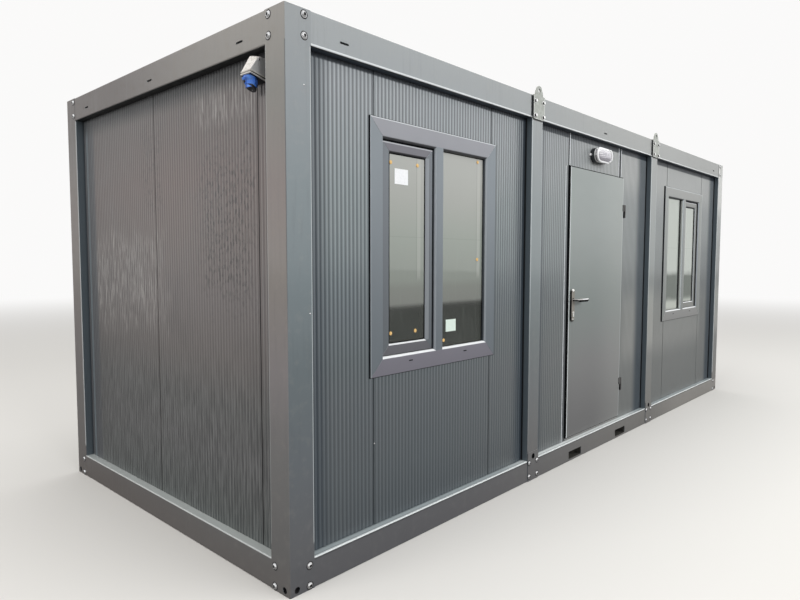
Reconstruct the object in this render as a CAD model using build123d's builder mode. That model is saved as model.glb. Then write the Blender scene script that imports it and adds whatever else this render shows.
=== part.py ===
from build123d import *
import os

os.makedirs("parts", exist_ok=True)

# Portable site cabin, in millimetres. The front, with the door, faces -Y.
# The seen end, with the power inlet, faces -X. The floor under it is Z = 0.
length = 6055
width = 2415
height = 2540
half_length = length / 2
half_width = width / 2

# Folded steel frame
sheet = 4
bend_radius = 6
post_side = 140
bottom_rail_high = 140
top_rail_high = 145
rail_deep = 140
rail_lower_lip = 100
rail_upper_lip = 60
inner_bend_radius = bend_radius - sheet
top_rail_bottom = height - top_rail_high
rail_half_x = half_length - post_side
rail_half_y = half_width - post_side

# Round holes in both outer faces at the foot of each corner post
foot_hole_radius = 15
foot_hole_in = 39
foot_hole_up = 25

# Short slots in the faces of the upper rails
slot_long = 54
slot_high = 10
slot_drop = 90
slot_in = 192
slot_z = height - slot_drop
slot_front_x = rail_half_x - slot_in
slot_end_y = rail_half_y - slot_in

# Intermediate posts and their foot plates
mid_post_x = 1007
mid_post_wide = 130
foot_plate_thick = 4
foot_plate_bottom = 2
foot_plate_lap = 55
foot_plate_top = bottom_rail_high + foot_plate_lap
mid_hole_radius = 14
mid_hole_up = 24
mid_hole_z = bottom_rail_high + mid_hole_up

# Lifting brackets: a head plate over the upper rail with an eye above the roof edge
bracket_wide = 136
bracket_thick = 10
bracket_high = 150
bracket_bottom = height - bracket_high
bracket_corner = 12
bracket_gap = 16
lug_base_wide = 92
lug_slope = 76
lug_top_radius = 32
eye_radius = 14
eye_up = 32
eye_z = height + eye_up

# Walls: insulated panels set back behind the frame
wall_recess = 50
wall_thick = 60
wall_outer_y = half_width - wall_recess
wall_inner_y = wall_outer_y - wall_thick
wall_outer_x = half_length - wall_recess
wall_inner_x = wall_outer_x - wall_thick
panel_wide = 1003
joint_wide = 4
joint_deep = 5
end_joint_in = 128.5
end_joint = rail_half_y - end_joint_in
end_joints = (-end_joint, panel_wide - end_joint)

# Windows, one in each outer bay of the front
window_wide = 1070
window_high = 1284
window_drop = 218
window_offset = 25
window_x = (mid_post_x + mid_post_wide / 2 + rail_half_x) / 2 - window_offset
window_top = top_rail_bottom - window_drop
window_bottom = window_top - window_high
window_mid_z = (window_bottom + window_top) / 2
window_cover = 95
window_proud = 6
window_lap = 35
window_deep = 70
mullion_wide = 76
mullion_deep = 52
sash_back = 18
sash_wide = 62
glass_thick = 4
opening_wide = window_wide - 2 * window_cover
opening_high = window_high - 2 * window_cover
light_wide = (opening_wide - mullion_wide) / 2
fit = 0.3

# Two panel joints run into each window, this far inside its outer edge
joint_in = 25
front_joint = window_x + window_wide / 2 - joint_in
front_joints = (front_joint, front_joint - panel_wide)

# Door in the middle bay
door_x = -10
leaf_wide = 915
leaf_up = 22
leaf_drop = 240
leaf_bottom = bottom_rail_high + leaf_up
leaf_top = top_rail_bottom - leaf_drop
leaf_proud = 12
leaf_skin = 6.5
leaf_lap = 25
leaf_thick = 46
sill_high = 23
frame_gap = 7
frame_wide = 12
stop_wide = 15
stop_deep = 18
leaf_face_y = wall_outer_y + leaf_proud
skin_back_y = leaf_face_y - leaf_skin
core_back_y = leaf_face_y - leaf_thick
leaf_left = door_x - leaf_wide / 2
leaf_right = door_x + leaf_wide / 2
core_left = leaf_left + leaf_lap
core_right = leaf_right - leaf_lap
core_top = leaf_top - leaf_lap
core_bottom = bottom_rail_high + sill_high + frame_gap
opening_left = core_left - frame_gap - frame_wide
opening_right = core_right + frame_gap + frame_wide
opening_top = core_top + frame_gap + frame_wide
door_joint_left = opening_left - 20
door_joint_right = opening_right - 50

# Hinges, lift-off pattern, on the right edge of the door
hinge_out = 27.5
hinge_x = leaf_right + hinge_out
hinge_radius = 8
hinge_pin_radius = 4.5
hinge_pin_clear = 0.4
hinge_half_high = 52
hinge_split = 1
hinge_pin_short = 6
hinge_plate_thick = 4
hinge_plate_wide = 36
hinge_leaf_lap = 30
hinge_in = 270
hinge_heights = (leaf_bottom + hinge_in, leaf_top - hinge_in)
hinge_y = leaf_face_y + 1

# Lock plate and lever
lock_in = 45
lock_up = 1030
lock_x = leaf_left + lock_in
lock_z = leaf_bottom + lock_up
lock_plate_wide = 42
lock_plate_high = 230
lock_plate_drop = 37
lock_plate_thick = 6
lever_radius = 9
lever_reach = 48
lever_long = 150
lever_bend = 14
rose_radius = 14
rose_thick = 6

# Lamp over the door
lamp_offset = 22
lamp_drop = 117
lamp_x = door_x - lamp_offset
lamp_z = top_rail_bottom - lamp_drop
lamp_wide = 236
lamp_high = 108
lamp_base_deep = 34
lamp_glass_deep = 62
lamp_rim = 9

# Power inlet on the left end
inlet_wide = 77
inlet_high = 111
inlet_drop = 12
inlet_in = 55
inlet_y = -rail_half_y + inlet_in + inlet_wide / 2
inlet_top = top_rail_bottom - inlet_drop
inlet_bottom = inlet_top - inlet_high
inlet_top_deep = 30
inlet_deep = 88
socket_radius = 33
socket_long = 66
socket_tilt = 8
socket_reach = 50

# Forklift pockets across the base
fork_x = 400
fork_wide = 194
fork_bottom = 15
fork_high = 57
fork_wall = 4
fork_top = fork_bottom + fork_high + fork_wall

# Floor and roof
floor_thick = 20
floor_slab_gap = 5
floor_slab_bottom = fork_top + fit
joist_wide = 50
joist_pitch = 600
joist_clear = 120
joist_first = fork_x + fork_wide / 2 + joist_clear
joist_count = 1 + int((rail_half_x - joist_first - joist_clear) / joist_pitch)
roof_low_thick = 26
roof_drop = 40
roof_top = height - roof_drop
roof_rib_high = 20
roof_rib_pitch = 270
roof_rib_base = 60
roof_rib_slope = 57
roof_rib_in = 150
roof_rib_count = 1 + int((2 * (rail_half_x - roof_rib_in) - roof_rib_base) / roof_rib_pitch)
roof_side_gap = 6


def front_plane(y):
    """A sketch plane facing the front, with X to the right and Y up."""
    return Plane(origin=(0, y, 0), x_dir=(1, 0, 0), z_dir=(0, -1, 0))


def end_plane(x):
    """A sketch plane facing the left end, with X towards the front and Y up."""
    return Plane(origin=(x, 0, 0), x_dir=(0, -1, 0), z_dir=(-1, 0, 0))


def folded_rail(outer, bottom, top, lower_lip, upper_lip):
    """Closed outline of a channel folded from sheet, open on the inside."""
    inner = outer + sheet
    Polyline(
        (outer, bottom),
        (outer + lower_lip, bottom),
        (outer + lower_lip, bottom + sheet),
        (inner, bottom + sheet),
        (inner, top - sheet),
        (outer + upper_lip, top - sheet),
        (outer + upper_lip, top),
        (outer, top),
        close=True,
    )


def notched_plan(reach_x, reach_y, corner_x, corner_y):
    """A rectangle with its four corners left free for the corner posts."""
    Rectangle(2 * reach_x, 2 * corner_y)
    Rectangle(2 * corner_x, 2 * reach_y)


# Corner post: a square folded tube with closed ends and two holes at its foot
with BuildPart() as corner_post_front_left:
    with BuildSketch(Plane.XY) as post_section:
        with Locations((-half_length + post_side / 2, -half_width + post_side / 2)):
            RectangleRounded(post_side, post_side, bend_radius)
    extrude(amount=height)
    with BuildSketch(Plane.XY.offset(sheet)) as post_hollow:
        with Locations((-half_length + post_side / 2, -half_width + post_side / 2)):
            RectangleRounded(post_side - 2 * sheet, post_side - 2 * sheet, inner_bend_radius)
    extrude(amount=height - 2 * sheet, mode=Mode.SUBTRACT)
    with BuildSketch(front_plane(-half_width)) as front_foot_hole:
        with Locations((-half_length + foot_hole_in, foot_hole_up)):
            Circle(foot_hole_radius)
    extrude(amount=-sheet * 2, mode=Mode.SUBTRACT)
    with BuildSketch(end_plane(-half_length)) as end_foot_hole:
        with Locations((half_width - foot_hole_in, foot_hole_up)):
            Circle(foot_hole_radius)
    extrude(amount=-sheet * 2, mode=Mode.SUBTRACT)
corner_post_front_left.part.label = "corner_post_front_left"
export_step(corner_post_front_left.part, "parts/corner_post_front_left.step")

with BuildPart() as corner_post_front_right:
    mirror(corner_post_front_left.part, about=Plane.YZ)
corner_post_front_right.part.label = "corner_post_front_right"
export_step(corner_post_front_right.part, "parts/corner_post_front_right.step")

with BuildPart() as corner_post_back_left:
    mirror(corner_post_front_left.part, about=Plane.XZ)
corner_post_back_left.part.label = "corner_post_back_left"
export_step(corner_post_back_left.part, "parts/corner_post_back_left.step")

with BuildPart() as corner_post_back_right:
    mirror(corner_post_front_right.part, about=Plane.XZ)
corner_post_back_right.part.label = "corner_post_back_right"
export_step(corner_post_back_right.part, "parts/corner_post_back_right.step")

# Lower long rail, with two cut-outs where the forklift pockets come through
with BuildPart() as bottom_rail_front:
    with BuildSketch(Plane.YZ.offset(-rail_half_x)) as bottom_section:
        with BuildLine():
            folded_rail(-half_width, 0, bottom_rail_high, rail_lower_lip, rail_deep)
        make_face()
        fillet(bottom_section.vertices().group_by(Axis.X)[0], bend_radius)
    extrude(amount=2 * rail_half_x)
    with BuildSketch(front_plane(-half_width)) as fork_cuts:
        with Locations((-fork_x, fork_bottom + fork_high / 2), (fork_x, fork_bottom + fork_high / 2)):
            Rectangle(fork_wide, fork_high)
    extrude(amount=-2 * sheet, mode=Mode.SUBTRACT)
bottom_rail_front.part.label = "bottom_rail_front"
export_step(bottom_rail_front.part, "parts/bottom_rail_front.step")

with BuildPart() as bottom_rail_back:
    mirror(bottom_rail_front.part, about=Plane.XZ)
bottom_rail_back.part.label = "bottom_rail_back"
export_step(bottom_rail_back.part, "parts/bottom_rail_back.step")

# Lower end rail
with BuildPart() as bottom_rail_left:
    with BuildSketch(Plane.XZ.offset(-rail_half_y)) as end_bottom_section:
        with BuildLine():
            folded_rail(-half_length, 0, bottom_rail_high, rail_lower_lip, rail_deep)
        make_face()
        fillet(end_bottom_section.vertices().group_by(Axis.X)[0], bend_radius)
    extrude(amount=2 * rail_half_y)
bottom_rail_left.part.label = "bottom_rail_left"
export_step(bottom_rail_left.part, "parts/bottom_rail_left.step")

with BuildPart() as bottom_rail_right:
    mirror(bottom_rail_left.part, about=Plane.YZ)
bottom_rail_right.part.label = "bottom_rail_right"
export_step(bottom_rail_right.part, "parts/bottom_rail_right.step")

# Upper long rail: slots in its face, and a clear gap on each side of both brackets
with BuildPart() as top_rail_front:
    with BuildSketch(Plane.YZ.offset(-rail_half_x)) as top_section:
        with BuildLine():
            folded_rail(-half_width, top_rail_bottom, height, rail_deep, rail_upper_lip)
        make_face()
        fillet(top_section.vertices().group_by(Axis.X)[0], bend_radius)
    extrude(amount=2 * rail_half_x)
    with BuildSketch(front_plane(-half_width)) as top_cuts:
        with Locations((-slot_front_x, slot_z), (0, slot_z), (slot_front_x, slot_z)):
            SlotOverall(slot_long, slot_high)
    extrude(amount=-2 * sheet, mode=Mode.SUBTRACT)
    with BuildSketch(front_plane(-half_width)) as bracket_gaps:
        for post in (-mid_post_x, mid_post_x):
            for side in (-1, 1):
                with Locations((post + side * (bracket_wide + bracket_gap) / 2, height - top_rail_high / 2)):
                    Rectangle(bracket_gap, top_rail_high - 2 * bend_radius)
    extrude(amount=-2 * sheet, mode=Mode.SUBTRACT)
top_rail_front.part.label = "top_rail_front"
export_step(top_rail_front.part, "parts/top_rail_front.step")

with BuildPart() as top_rail_back:
    mirror(top_rail_front.part, about=Plane.XZ)
top_rail_back.part.label = "top_rail_back"
export_step(top_rail_back.part, "parts/top_rail_back.step")

# Upper end rail
with BuildPart() as top_rail_left:
    with BuildSketch(Plane.XZ.offset(-rail_half_y)) as end_top_section:
        with BuildLine():
            folded_rail(-half_length, top_rail_bottom, height, rail_deep, rail_upper_lip)
        make_face()
        fillet(end_top_section.vertices().group_by(Axis.X)[0], bend_radius)
    extrude(amount=2 * rail_half_y)
    with BuildSketch(end_plane(-half_length)) as end_slots:
        with Locations((-slot_end_y, slot_z), (0, slot_z), (slot_end_y, slot_z)):
            SlotOverall(slot_long, slot_high)
    extrude(amount=-2 * sheet, mode=Mode.SUBTRACT)
top_rail_left.part.label = "top_rail_left"
export_step(top_rail_left.part, "parts/top_rail_left.step")

with BuildPart() as top_rail_right:
    mirror(top_rail_left.part, about=Plane.YZ)
top_rail_right.part.label = "top_rail_right"
export_step(top_rail_right.part, "parts/top_rail_right.step")

# Intermediate post: a folded channel in front of the wall, with a plate over the lower rail
with BuildPart() as mid_post_front_left:
    with BuildSketch(Plane.XY.offset(bottom_rail_high)) as mid_section:
        with Locations((-mid_post_x, -half_width + wall_recess / 2)):
            Rectangle(mid_post_wide, wall_recess)
        fillet(mid_section.vertices().group_by(Axis.Y)[0], bend_radius)
        with Locations((-mid_post_x, -half_width + (wall_recess + sheet) / 2)):
            Rectangle(mid_post_wide - 2 * sheet, wall_recess - sheet, mode=Mode.SUBTRACT)
    extrude(amount=top_rail_bottom - bottom_rail_high)
    with BuildSketch(front_plane(-half_width)) as foot_plate:
        with Locations((-mid_post_x, (foot_plate_bottom + foot_plate_top) / 2)):
            RectangleRounded(mid_post_wide, foot_plate_top - foot_plate_bottom, 3)
    extrude(amount=foot_plate_thick)
    with BuildSketch(front_plane(-half_width - foot_plate_thick)) as mid_hole:
        with Locations((-mid_post_x, mid_hole_z)):
            Circle(mid_hole_radius)
    extrude(amount=-2 * sheet - foot_plate_thick, mode=Mode.SUBTRACT)
mid_post_front_left.part.label = "mid_post_front_left"
export_step(mid_post_front_left.part, "parts/mid_post_front_left.step")

with BuildPart() as mid_post_front_right:
    mirror(mid_post_front_left.part, about=Plane.YZ)
mid_post_front_right.part.label = "mid_post_front_right"
export_step(mid_post_front_right.part, "parts/mid_post_front_right.step")

with BuildPart() as mid_post_back_left:
    mirror(mid_post_front_left.part, about=Plane.XZ)
mid_post_back_left.part.label = "mid_post_back_left"
export_step(mid_post_back_left.part, "parts/mid_post_back_left.step")

with BuildPart() as mid_post_back_right:
    mirror(mid_post_front_right.part, about=Plane.XZ)
mid_post_back_right.part.label = "mid_post_back_right"
export_step(mid_post_back_right.part, "parts/mid_post_back_right.step")

# Lifting bracket: head plate with rounded lower corners and a tapered lug with an eye
with BuildPart() as lifting_bracket_front_left:
    with BuildSketch(front_plane(-half_width)) as bracket_outline:
        with Locations((-mid_post_x, (bracket_bottom + height) / 2)):
            Rectangle(bracket_wide, height - bracket_bottom)
        fillet(bracket_outline.vertices().group_by(Axis.Y)[0], bracket_corner)
    extrude(amount=bracket_thick)
    with BuildSketch(front_plane(-half_width)) as lug_outline:
        with Locations((-mid_post_x, height)):
            Trapezoid(lug_base_wide, eye_z - height, lug_slope, align=(Align.CENTER, Align.MIN))
        with Locations((-mid_post_x, eye_z)):
            Circle(lug_top_radius)
    extrude(amount=bracket_thick)
    with BuildSketch(front_plane(-half_width - bracket_thick)) as eye:
        with Locations((-mid_post_x, eye_z)):
            Circle(eye_radius)
    extrude(amount=-bracket_thick, mode=Mode.SUBTRACT)
lifting_bracket_front_left.part.label = "lifting_bracket_front_left"
export_step(lifting_bracket_front_left.part, "parts/lifting_bracket_front_left.step")

with BuildPart() as lifting_bracket_front_right:
    mirror(lifting_bracket_front_left.part, about=Plane.YZ)
lifting_bracket_front_right.part.label = "lifting_bracket_front_right"
export_step(lifting_bracket_front_right.part, "parts/lifting_bracket_front_right.step")

with BuildPart() as lifting_bracket_back_left:
    mirror(lifting_bracket_front_left.part, about=Plane.XZ)
lifting_bracket_back_left.part.label = "lifting_bracket_back_left"
export_step(lifting_bracket_back_left.part, "parts/lifting_bracket_back_left.step")

with BuildPart() as lifting_bracket_back_right:
    mirror(lifting_bracket_front_right.part, about=Plane.XZ)
lifting_bracket_back_right.part.label = "lifting_bracket_back_right"
export_step(lifting_bracket_back_right.part, "parts/lifting_bracket_back_right.step")

# Forklift pocket: a flat tube from the front rail to the back rail
with BuildPart() as fork_pocket_left:
    with BuildSketch(Plane.XZ.offset(-half_width + sheet)) as fork_section:
        with Locations((-fork_x, fork_bottom + fork_high / 2)):
            Rectangle(fork_wide + 2 * fork_wall, fork_high + 2 * fork_wall)
            Rectangle(fork_wide, fork_high, mode=Mode.SUBTRACT)
    extrude(amount=width - 2 * sheet)
fork_pocket_left.part.label = "fork_pocket_left"
export_step(fork_pocket_left.part, "parts/fork_pocket_left.step")

with BuildPart() as fork_pocket_right:
    mirror(fork_pocket_left.part, about=Plane.YZ)
fork_pocket_right.part.label = "fork_pocket_right"
export_step(fork_pocket_right.part, "parts/fork_pocket_right.step")

# Floor: a deck on the lower rails, with the insulated slab hanging between them
with BuildPart() as floor_panel:
    with BuildSketch(Plane.XY.offset(bottom_rail_high)) as deck_plan:
        notched_plan(wall_inner_x - fit, wall_inner_y - fit, rail_half_x - fit, rail_half_y - fit)
    extrude(amount=floor_thick)
    with BuildSketch(Plane.XY.offset(floor_slab_bottom)) as slab_plan:
        Rectangle(2 * (rail_half_x - floor_slab_gap), 2 * (rail_half_y - floor_slab_gap))
    extrude(amount=bottom_rail_high - floor_slab_bottom)
floor_panel.part.label = "floor_panel"
export_step(floor_panel.part, "parts/floor_panel.step")

# Cross members under the floor: folded channels between the lips of the long lower rails
outer_joists = [joist_first + step * joist_pitch for step in range(joist_count)]
with BuildPart() as floor_joists:
    with BuildSketch(Plane.XZ.offset(-half_width + rail_lower_lip)) as joist_section:
        for joist in (0, *outer_joists, *[-x for x in outer_joists]):
            with BuildLine():
                folded_rail(joist - joist_wide / 2, 0, floor_slab_bottom, joist_wide, joist_wide)
            make_face()
    extrude(amount=2 * (half_width - rail_lower_lip))
floor_joists.part.label = "floor_joists"
export_step(floor_joists.part, "parts/floor_joists.step")

# Roof: an insulated tray on the lips of the upper rails, with raised ribs across it
with BuildPart() as roof_panel:
    with BuildSketch(Plane.XY.offset(top_rail_bottom + sheet)) as tray_plan:
        notched_plan(
            half_length - sheet - fit,
            half_width - sheet - fit,
            rail_half_x - fit,
            rail_half_y - fit,
        )
    extrude(amount=roof_low_thick)
    with BuildSketch(Plane.XY.offset(top_rail_bottom + sheet + roof_low_thick)) as roof_plan:
        notched_plan(
            half_length - rail_upper_lip - roof_side_gap,
            half_width - rail_upper_lip - roof_side_gap,
            rail_half_x - fit,
            rail_half_y - fit,
        )
    extrude(amount=roof_top - top_rail_bottom - sheet - roof_low_thick)
    with BuildSketch(Plane.XZ.offset(-rail_half_y + fit)) as rib_section:
        with GridLocations(roof_rib_pitch, 0, roof_rib_count, 1):
            with Locations((0, roof_top)):
                Trapezoid(roof_rib_base, roof_rib_high, roof_rib_slope, align=(Align.CENTER, Align.MIN))
    extrude(amount=2 * (rail_half_y - fit))
roof_panel.part.label = "roof_panel"
export_step(roof_panel.part, "parts/roof_panel.step")

# Front wall left of the door, open for the window, with a groove at each panel joint
with BuildPart() as wall_front_left:
    with BuildSketch(front_plane(-wall_outer_y)) as left_wall_plan:
        with Locations((-rail_half_x, bottom_rail_high)):
            Rectangle(
                rail_half_x + opening_left,
                top_rail_bottom - bottom_rail_high,
                align=(Align.MIN, Align.MIN),
            )
        with Locations((-window_x, (window_bottom + window_top) / 2)):
            Rectangle(window_wide - 2 * window_lap, window_high - 2 * window_lap, mode=Mode.SUBTRACT)
    extrude(amount=-wall_thick)
    with BuildSketch(front_plane(-wall_outer_y)) as left_wall_joints:
        for joint in (-front_joints[0], -front_joints[1], door_joint_left):
            with Locations((joint, (bottom_rail_high + top_rail_bottom) / 2)):
                Rectangle(joint_wide, top_rail_bottom - bottom_rail_high)
    extrude(amount=-joint_deep, mode=Mode.SUBTRACT)
wall_front_left.part.label = "wall_front_left"
export_step(wall_front_left.part, "parts/wall_front_left.step")

# Front wall right of the door
with BuildPart() as wall_front_right:
    with BuildSketch(front_plane(-wall_outer_y)) as right_wall_plan:
        with Locations((rail_half_x, bottom_rail_high)):
            Rectangle(
                rail_half_x - opening_right,
                top_rail_bottom - bottom_rail_high,
                align=(Align.MAX, Align.MIN),
            )
        with Locations((window_x, (window_bottom + window_top) / 2)):
            Rectangle(window_wide - 2 * window_lap, window_high - 2 * window_lap, mode=Mode.SUBTRACT)
    extrude(amount=-wall_thick)
    with BuildSketch(front_plane(-wall_outer_y)) as right_wall_joints:
        for joint in front_joints:
            with Locations((joint, (bottom_rail_high + top_rail_bottom) / 2)):
                Rectangle(joint_wide, top_rail_bottom - bottom_rail_high)
    extrude(amount=-joint_deep, mode=Mode.SUBTRACT)
wall_front_right.part.label = "wall_front_right"
export_step(wall_front_right.part, "parts/wall_front_right.step")

# Front wall over the door
with BuildPart() as wall_over_door:
    with BuildSketch(front_plane(-wall_outer_y)) as over_door_plan:
        with Locations((opening_left, opening_top)):
            Rectangle(
                opening_right - opening_left,
                top_rail_bottom - opening_top,
                align=(Align.MIN, Align.MIN),
            )
    extrude(amount=-wall_thick)
    with BuildSketch(front_plane(-wall_outer_y)) as over_door_joint:
        with Locations((door_joint_right, (opening_top + top_rail_bottom) / 2)):
            Rectangle(joint_wide, top_rail_bottom - opening_top)
    extrude(amount=-joint_deep, mode=Mode.SUBTRACT)
wall_over_door.part.label = "wall_over_door"
export_step(wall_over_door.part, "parts/wall_over_door.step")

# Back wall, with the same panel joints as the outer bays of the front
with BuildPart() as wall_back:
    with BuildSketch(front_plane(wall_inner_y)) as back_plan:
        with Locations((0, (bottom_rail_high + top_rail_bottom) / 2)):
            Rectangle(2 * rail_half_x, top_rail_bottom - bottom_rail_high)
    extrude(amount=-wall_thick)
    with BuildSketch(front_plane(wall_outer_y - joint_deep)) as back_joints:
        for joint in (*front_joints, -front_joints[0], -front_joints[1], -window_wide / 2, window_wide / 2):
            with Locations((joint, (bottom_rail_high + top_rail_bottom) / 2)):
                Rectangle(joint_wide, top_rail_bottom - bottom_rail_high)
    extrude(amount=-joint_deep, mode=Mode.SUBTRACT)
wall_back.part.label = "wall_back"
export_step(wall_back.part, "parts/wall_back.step")

# End walls
with BuildPart() as wall_left:
    with BuildSketch(end_plane(-wall_outer_x)) as end_plan:
        with Locations((0, (bottom_rail_high + top_rail_bottom) / 2)):
            Rectangle(2 * rail_half_y, top_rail_bottom - bottom_rail_high)
    extrude(amount=-wall_thick)
    with BuildSketch(end_plane(-wall_outer_x)) as end_wall_joints:
        for joint in end_joints:
            with Locations((-joint, (bottom_rail_high + top_rail_bottom) / 2)):
                Rectangle(joint_wide, top_rail_bottom - bottom_rail_high)
    extrude(amount=-joint_deep, mode=Mode.SUBTRACT)
wall_left.part.label = "wall_left"
export_step(wall_left.part, "parts/wall_left.step")

with BuildPart() as wall_right:
    mirror(wall_left.part, about=Plane.YZ)
wall_right.part.label = "wall_right"
export_step(wall_right.part, "parts/wall_right.step")

# Window frame: a wide cover over the wall, a deep profile through it and a mullion
with BuildPart() as window_left_frame:
    with BuildSketch(front_plane(-wall_outer_y)) as cover_plan:
        with Locations((-window_x, window_mid_z)):
            Rectangle(window_wide, window_high)
            Rectangle(opening_wide, opening_high, mode=Mode.SUBTRACT)
    extrude(amount=window_proud)
    with BuildSketch(front_plane(-wall_outer_y)) as profile_plan:
        with Locations((-window_x, window_mid_z)):
            Rectangle(window_wide - 2 * window_lap, window_high - 2 * window_lap)
            Rectangle(opening_wide, opening_high, mode=Mode.SUBTRACT)
    extrude(amount=window_proud - window_deep)
    with BuildSketch(front_plane(-wall_outer_y - window_proud)) as mullion_plan:
        with Locations((-window_x, window_mid_z)):
            Rectangle(mullion_wide, opening_high)
    extrude(amount=-mullion_deep)
window_left_frame.part.label = "window_left_frame"
export_step(window_left_frame.part, "parts/window_left_frame.step")

with BuildPart() as window_right_frame:
    mirror(window_left_frame.part, about=Plane.YZ)
window_right_frame.part.label = "window_right_frame"
export_step(window_right_frame.part, "parts/window_right_frame.step")

# Opening light, set back in the outer half of the window
with BuildPart() as window_left_sash:
    with BuildSketch(front_plane(-wall_outer_y - window_proud + sash_back)) as sash_plan:
        with Locations((-window_x - (mullion_wide + light_wide) / 2, window_mid_z)):
            Rectangle(light_wide, opening_high)
            Rectangle(light_wide - 2 * sash_wide, opening_high - 2 * sash_wide, mode=Mode.SUBTRACT)
    extrude(amount=sash_back - mullion_deep)
window_left_sash.part.label = "window_left_sash"
export_step(window_left_sash.part, "parts/window_left_sash.step")

with BuildPart() as window_right_sash:
    mirror(window_left_sash.part, about=Plane.YZ)
window_right_sash.part.label = "window_right_sash"
export_step(window_right_sash.part, "parts/window_right_sash.step")

# One sheet of glass behind both lights
with BuildPart() as window_left_glass:
    with BuildSketch(front_plane(-wall_outer_y - window_proud + mullion_deep)) as glass_plan:
        with Locations((-window_x, window_mid_z)):
            Rectangle(opening_wide, opening_high)
    extrude(amount=-glass_thick)
window_left_glass.part.label = "window_left_glass"
export_step(window_left_glass.part, "parts/window_left_glass.step")

with BuildPart() as window_right_glass:
    mirror(window_left_glass.part, about=Plane.YZ)
window_right_glass.part.label = "window_right_glass"
export_step(window_right_glass.part, "parts/window_right_glass.step")

# Door frame: a lining all round the opening with a stop on its inner edge
with BuildPart() as door_frame:
    with BuildSketch(front_plane(-wall_outer_y)) as lining_plan:
        with Locations((opening_left, bottom_rail_high)):
            Rectangle(
                opening_right - opening_left,
                opening_top - bottom_rail_high,
                align=(Align.MIN, Align.MIN),
            )
        with Locations((core_left - frame_gap, core_bottom - frame_gap)):
            Rectangle(
                core_right - core_left + 2 * frame_gap,
                core_top - core_bottom + 2 * frame_gap,
                align=(Align.MIN, Align.MIN),
                mode=Mode.SUBTRACT,
            )
    extrude(amount=-wall_thick)
    with BuildSketch(front_plane(-wall_inner_y - stop_deep)) as stop_plan:
        with Locations((opening_left, bottom_rail_high)):
            Rectangle(
                opening_right - opening_left,
                opening_top - bottom_rail_high,
                align=(Align.MIN, Align.MIN),
            )
        with Locations((core_left - frame_gap + stop_wide, core_bottom - frame_gap)):
            Rectangle(
                core_right - core_left + 2 * frame_gap - 2 * stop_wide,
                core_top - core_bottom + 2 * frame_gap - stop_wide,
                align=(Align.MIN, Align.MIN),
                mode=Mode.SUBTRACT,
            )
    extrude(amount=-stop_deep)
door_frame.part.label = "door_frame"
export_step(door_frame.part, "parts/door_frame.step")

# Door leaf: outer skin lapping over the wall, core in the opening, lock plate, hinge halves
with BuildPart() as door_leaf:
    with BuildSketch(front_plane(-leaf_face_y)) as skin_plan:
        with Locations((leaf_left, leaf_bottom)):
            Rectangle(leaf_wide, leaf_top - leaf_bottom, align=(Align.MIN, Align.MIN))
    extrude(amount=-leaf_skin)
    with BuildSketch(front_plane(-skin_back_y)) as core_plan:
        with Locations((core_left, core_bottom)):
            Rectangle(core_right - core_left, core_top - core_bottom, align=(Align.MIN, Align.MIN))
    extrude(amount=core_back_y - skin_back_y)
    with BuildSketch(front_plane(-leaf_face_y)) as lock_plan:
        with Locations((lock_x, lock_z - lock_plate_drop)):
            RectangleRounded(lock_plate_wide, lock_plate_high, 6)
    extrude(amount=lock_plate_thick)
    for z in hinge_heights:
        with BuildSketch(Plane.XY.offset(z + hinge_split / 2)) as upper_knuckle:
            with Locations((hinge_x, -hinge_y)):
                Circle(hinge_radius)
            with Locations((leaf_right - hinge_leaf_lap, -leaf_face_y)):
                Rectangle(
                    hinge_x - leaf_right + hinge_leaf_lap,
                    hinge_plate_thick,
                    align=(Align.MIN, Align.MAX),
                )
            with Locations((hinge_x, -hinge_y)):
                Circle(hinge_pin_radius + hinge_pin_clear, mode=Mode.SUBTRACT)
        extrude(amount=hinge_half_high)
door_leaf.part.label = "door_leaf"
export_step(door_leaf.part, "parts/door_leaf.step")

# Fixed hinge halves: knuckle, pin and a plate on the wall
with BuildPart() as door_hinges:
    for z in hinge_heights:
        with BuildSketch(Plane.XY.offset(z - hinge_split / 2 - hinge_half_high)) as lower_knuckle:
            with Locations((hinge_x, -hinge_y)):
                Circle(hinge_radius)
            with Locations((hinge_x, -wall_outer_y)):
                Rectangle(hinge_plate_wide, hinge_plate_thick, align=(Align.MIN, Align.MAX))
                Rectangle(hinge_radius, hinge_y - wall_outer_y, align=(Align.MIN, Align.MAX))
        extrude(amount=hinge_half_high)
        with BuildSketch(Plane.XY.offset(z - hinge_split / 2)) as pin:
            with Locations((hinge_x, -hinge_y)):
                Circle(hinge_pin_radius)
        extrude(amount=hinge_half_high - hinge_pin_short)
door_hinges.part.label = "door_hinges"
export_step(door_hinges.part, "parts/door_hinges.step")

# Lever: a round bar bent out from its rose and along the door
lever_base_y = -leaf_face_y - lock_plate_thick - fit
with BuildPart() as door_lever:
    with BuildSketch(front_plane(lever_base_y)) as rose:
        with Locations((lock_x, lock_z)):
            Circle(rose_radius)
    extrude(amount=rose_thick)
    with BuildLine() as lever_path:
        lever_line = FilletPolyline(
            (lock_x, lever_base_y, lock_z),
            (lock_x, lever_base_y - lever_reach, lock_z),
            (lock_x + lever_long, lever_base_y - lever_reach, lock_z),
            radius=lever_bend,
        )
    with BuildSketch(Plane(origin=lever_line @ 0, z_dir=lever_line % 0)) as lever_section:
        Circle(lever_radius)
    sweep(path=lever_line)
    fillet(door_lever.edges().filter_by(GeomType.CIRCLE).sort_by(Axis.X)[-1], 4)
door_lever.part.label = "door_lever"
export_step(door_lever.part, "parts/door_lever.step")

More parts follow.
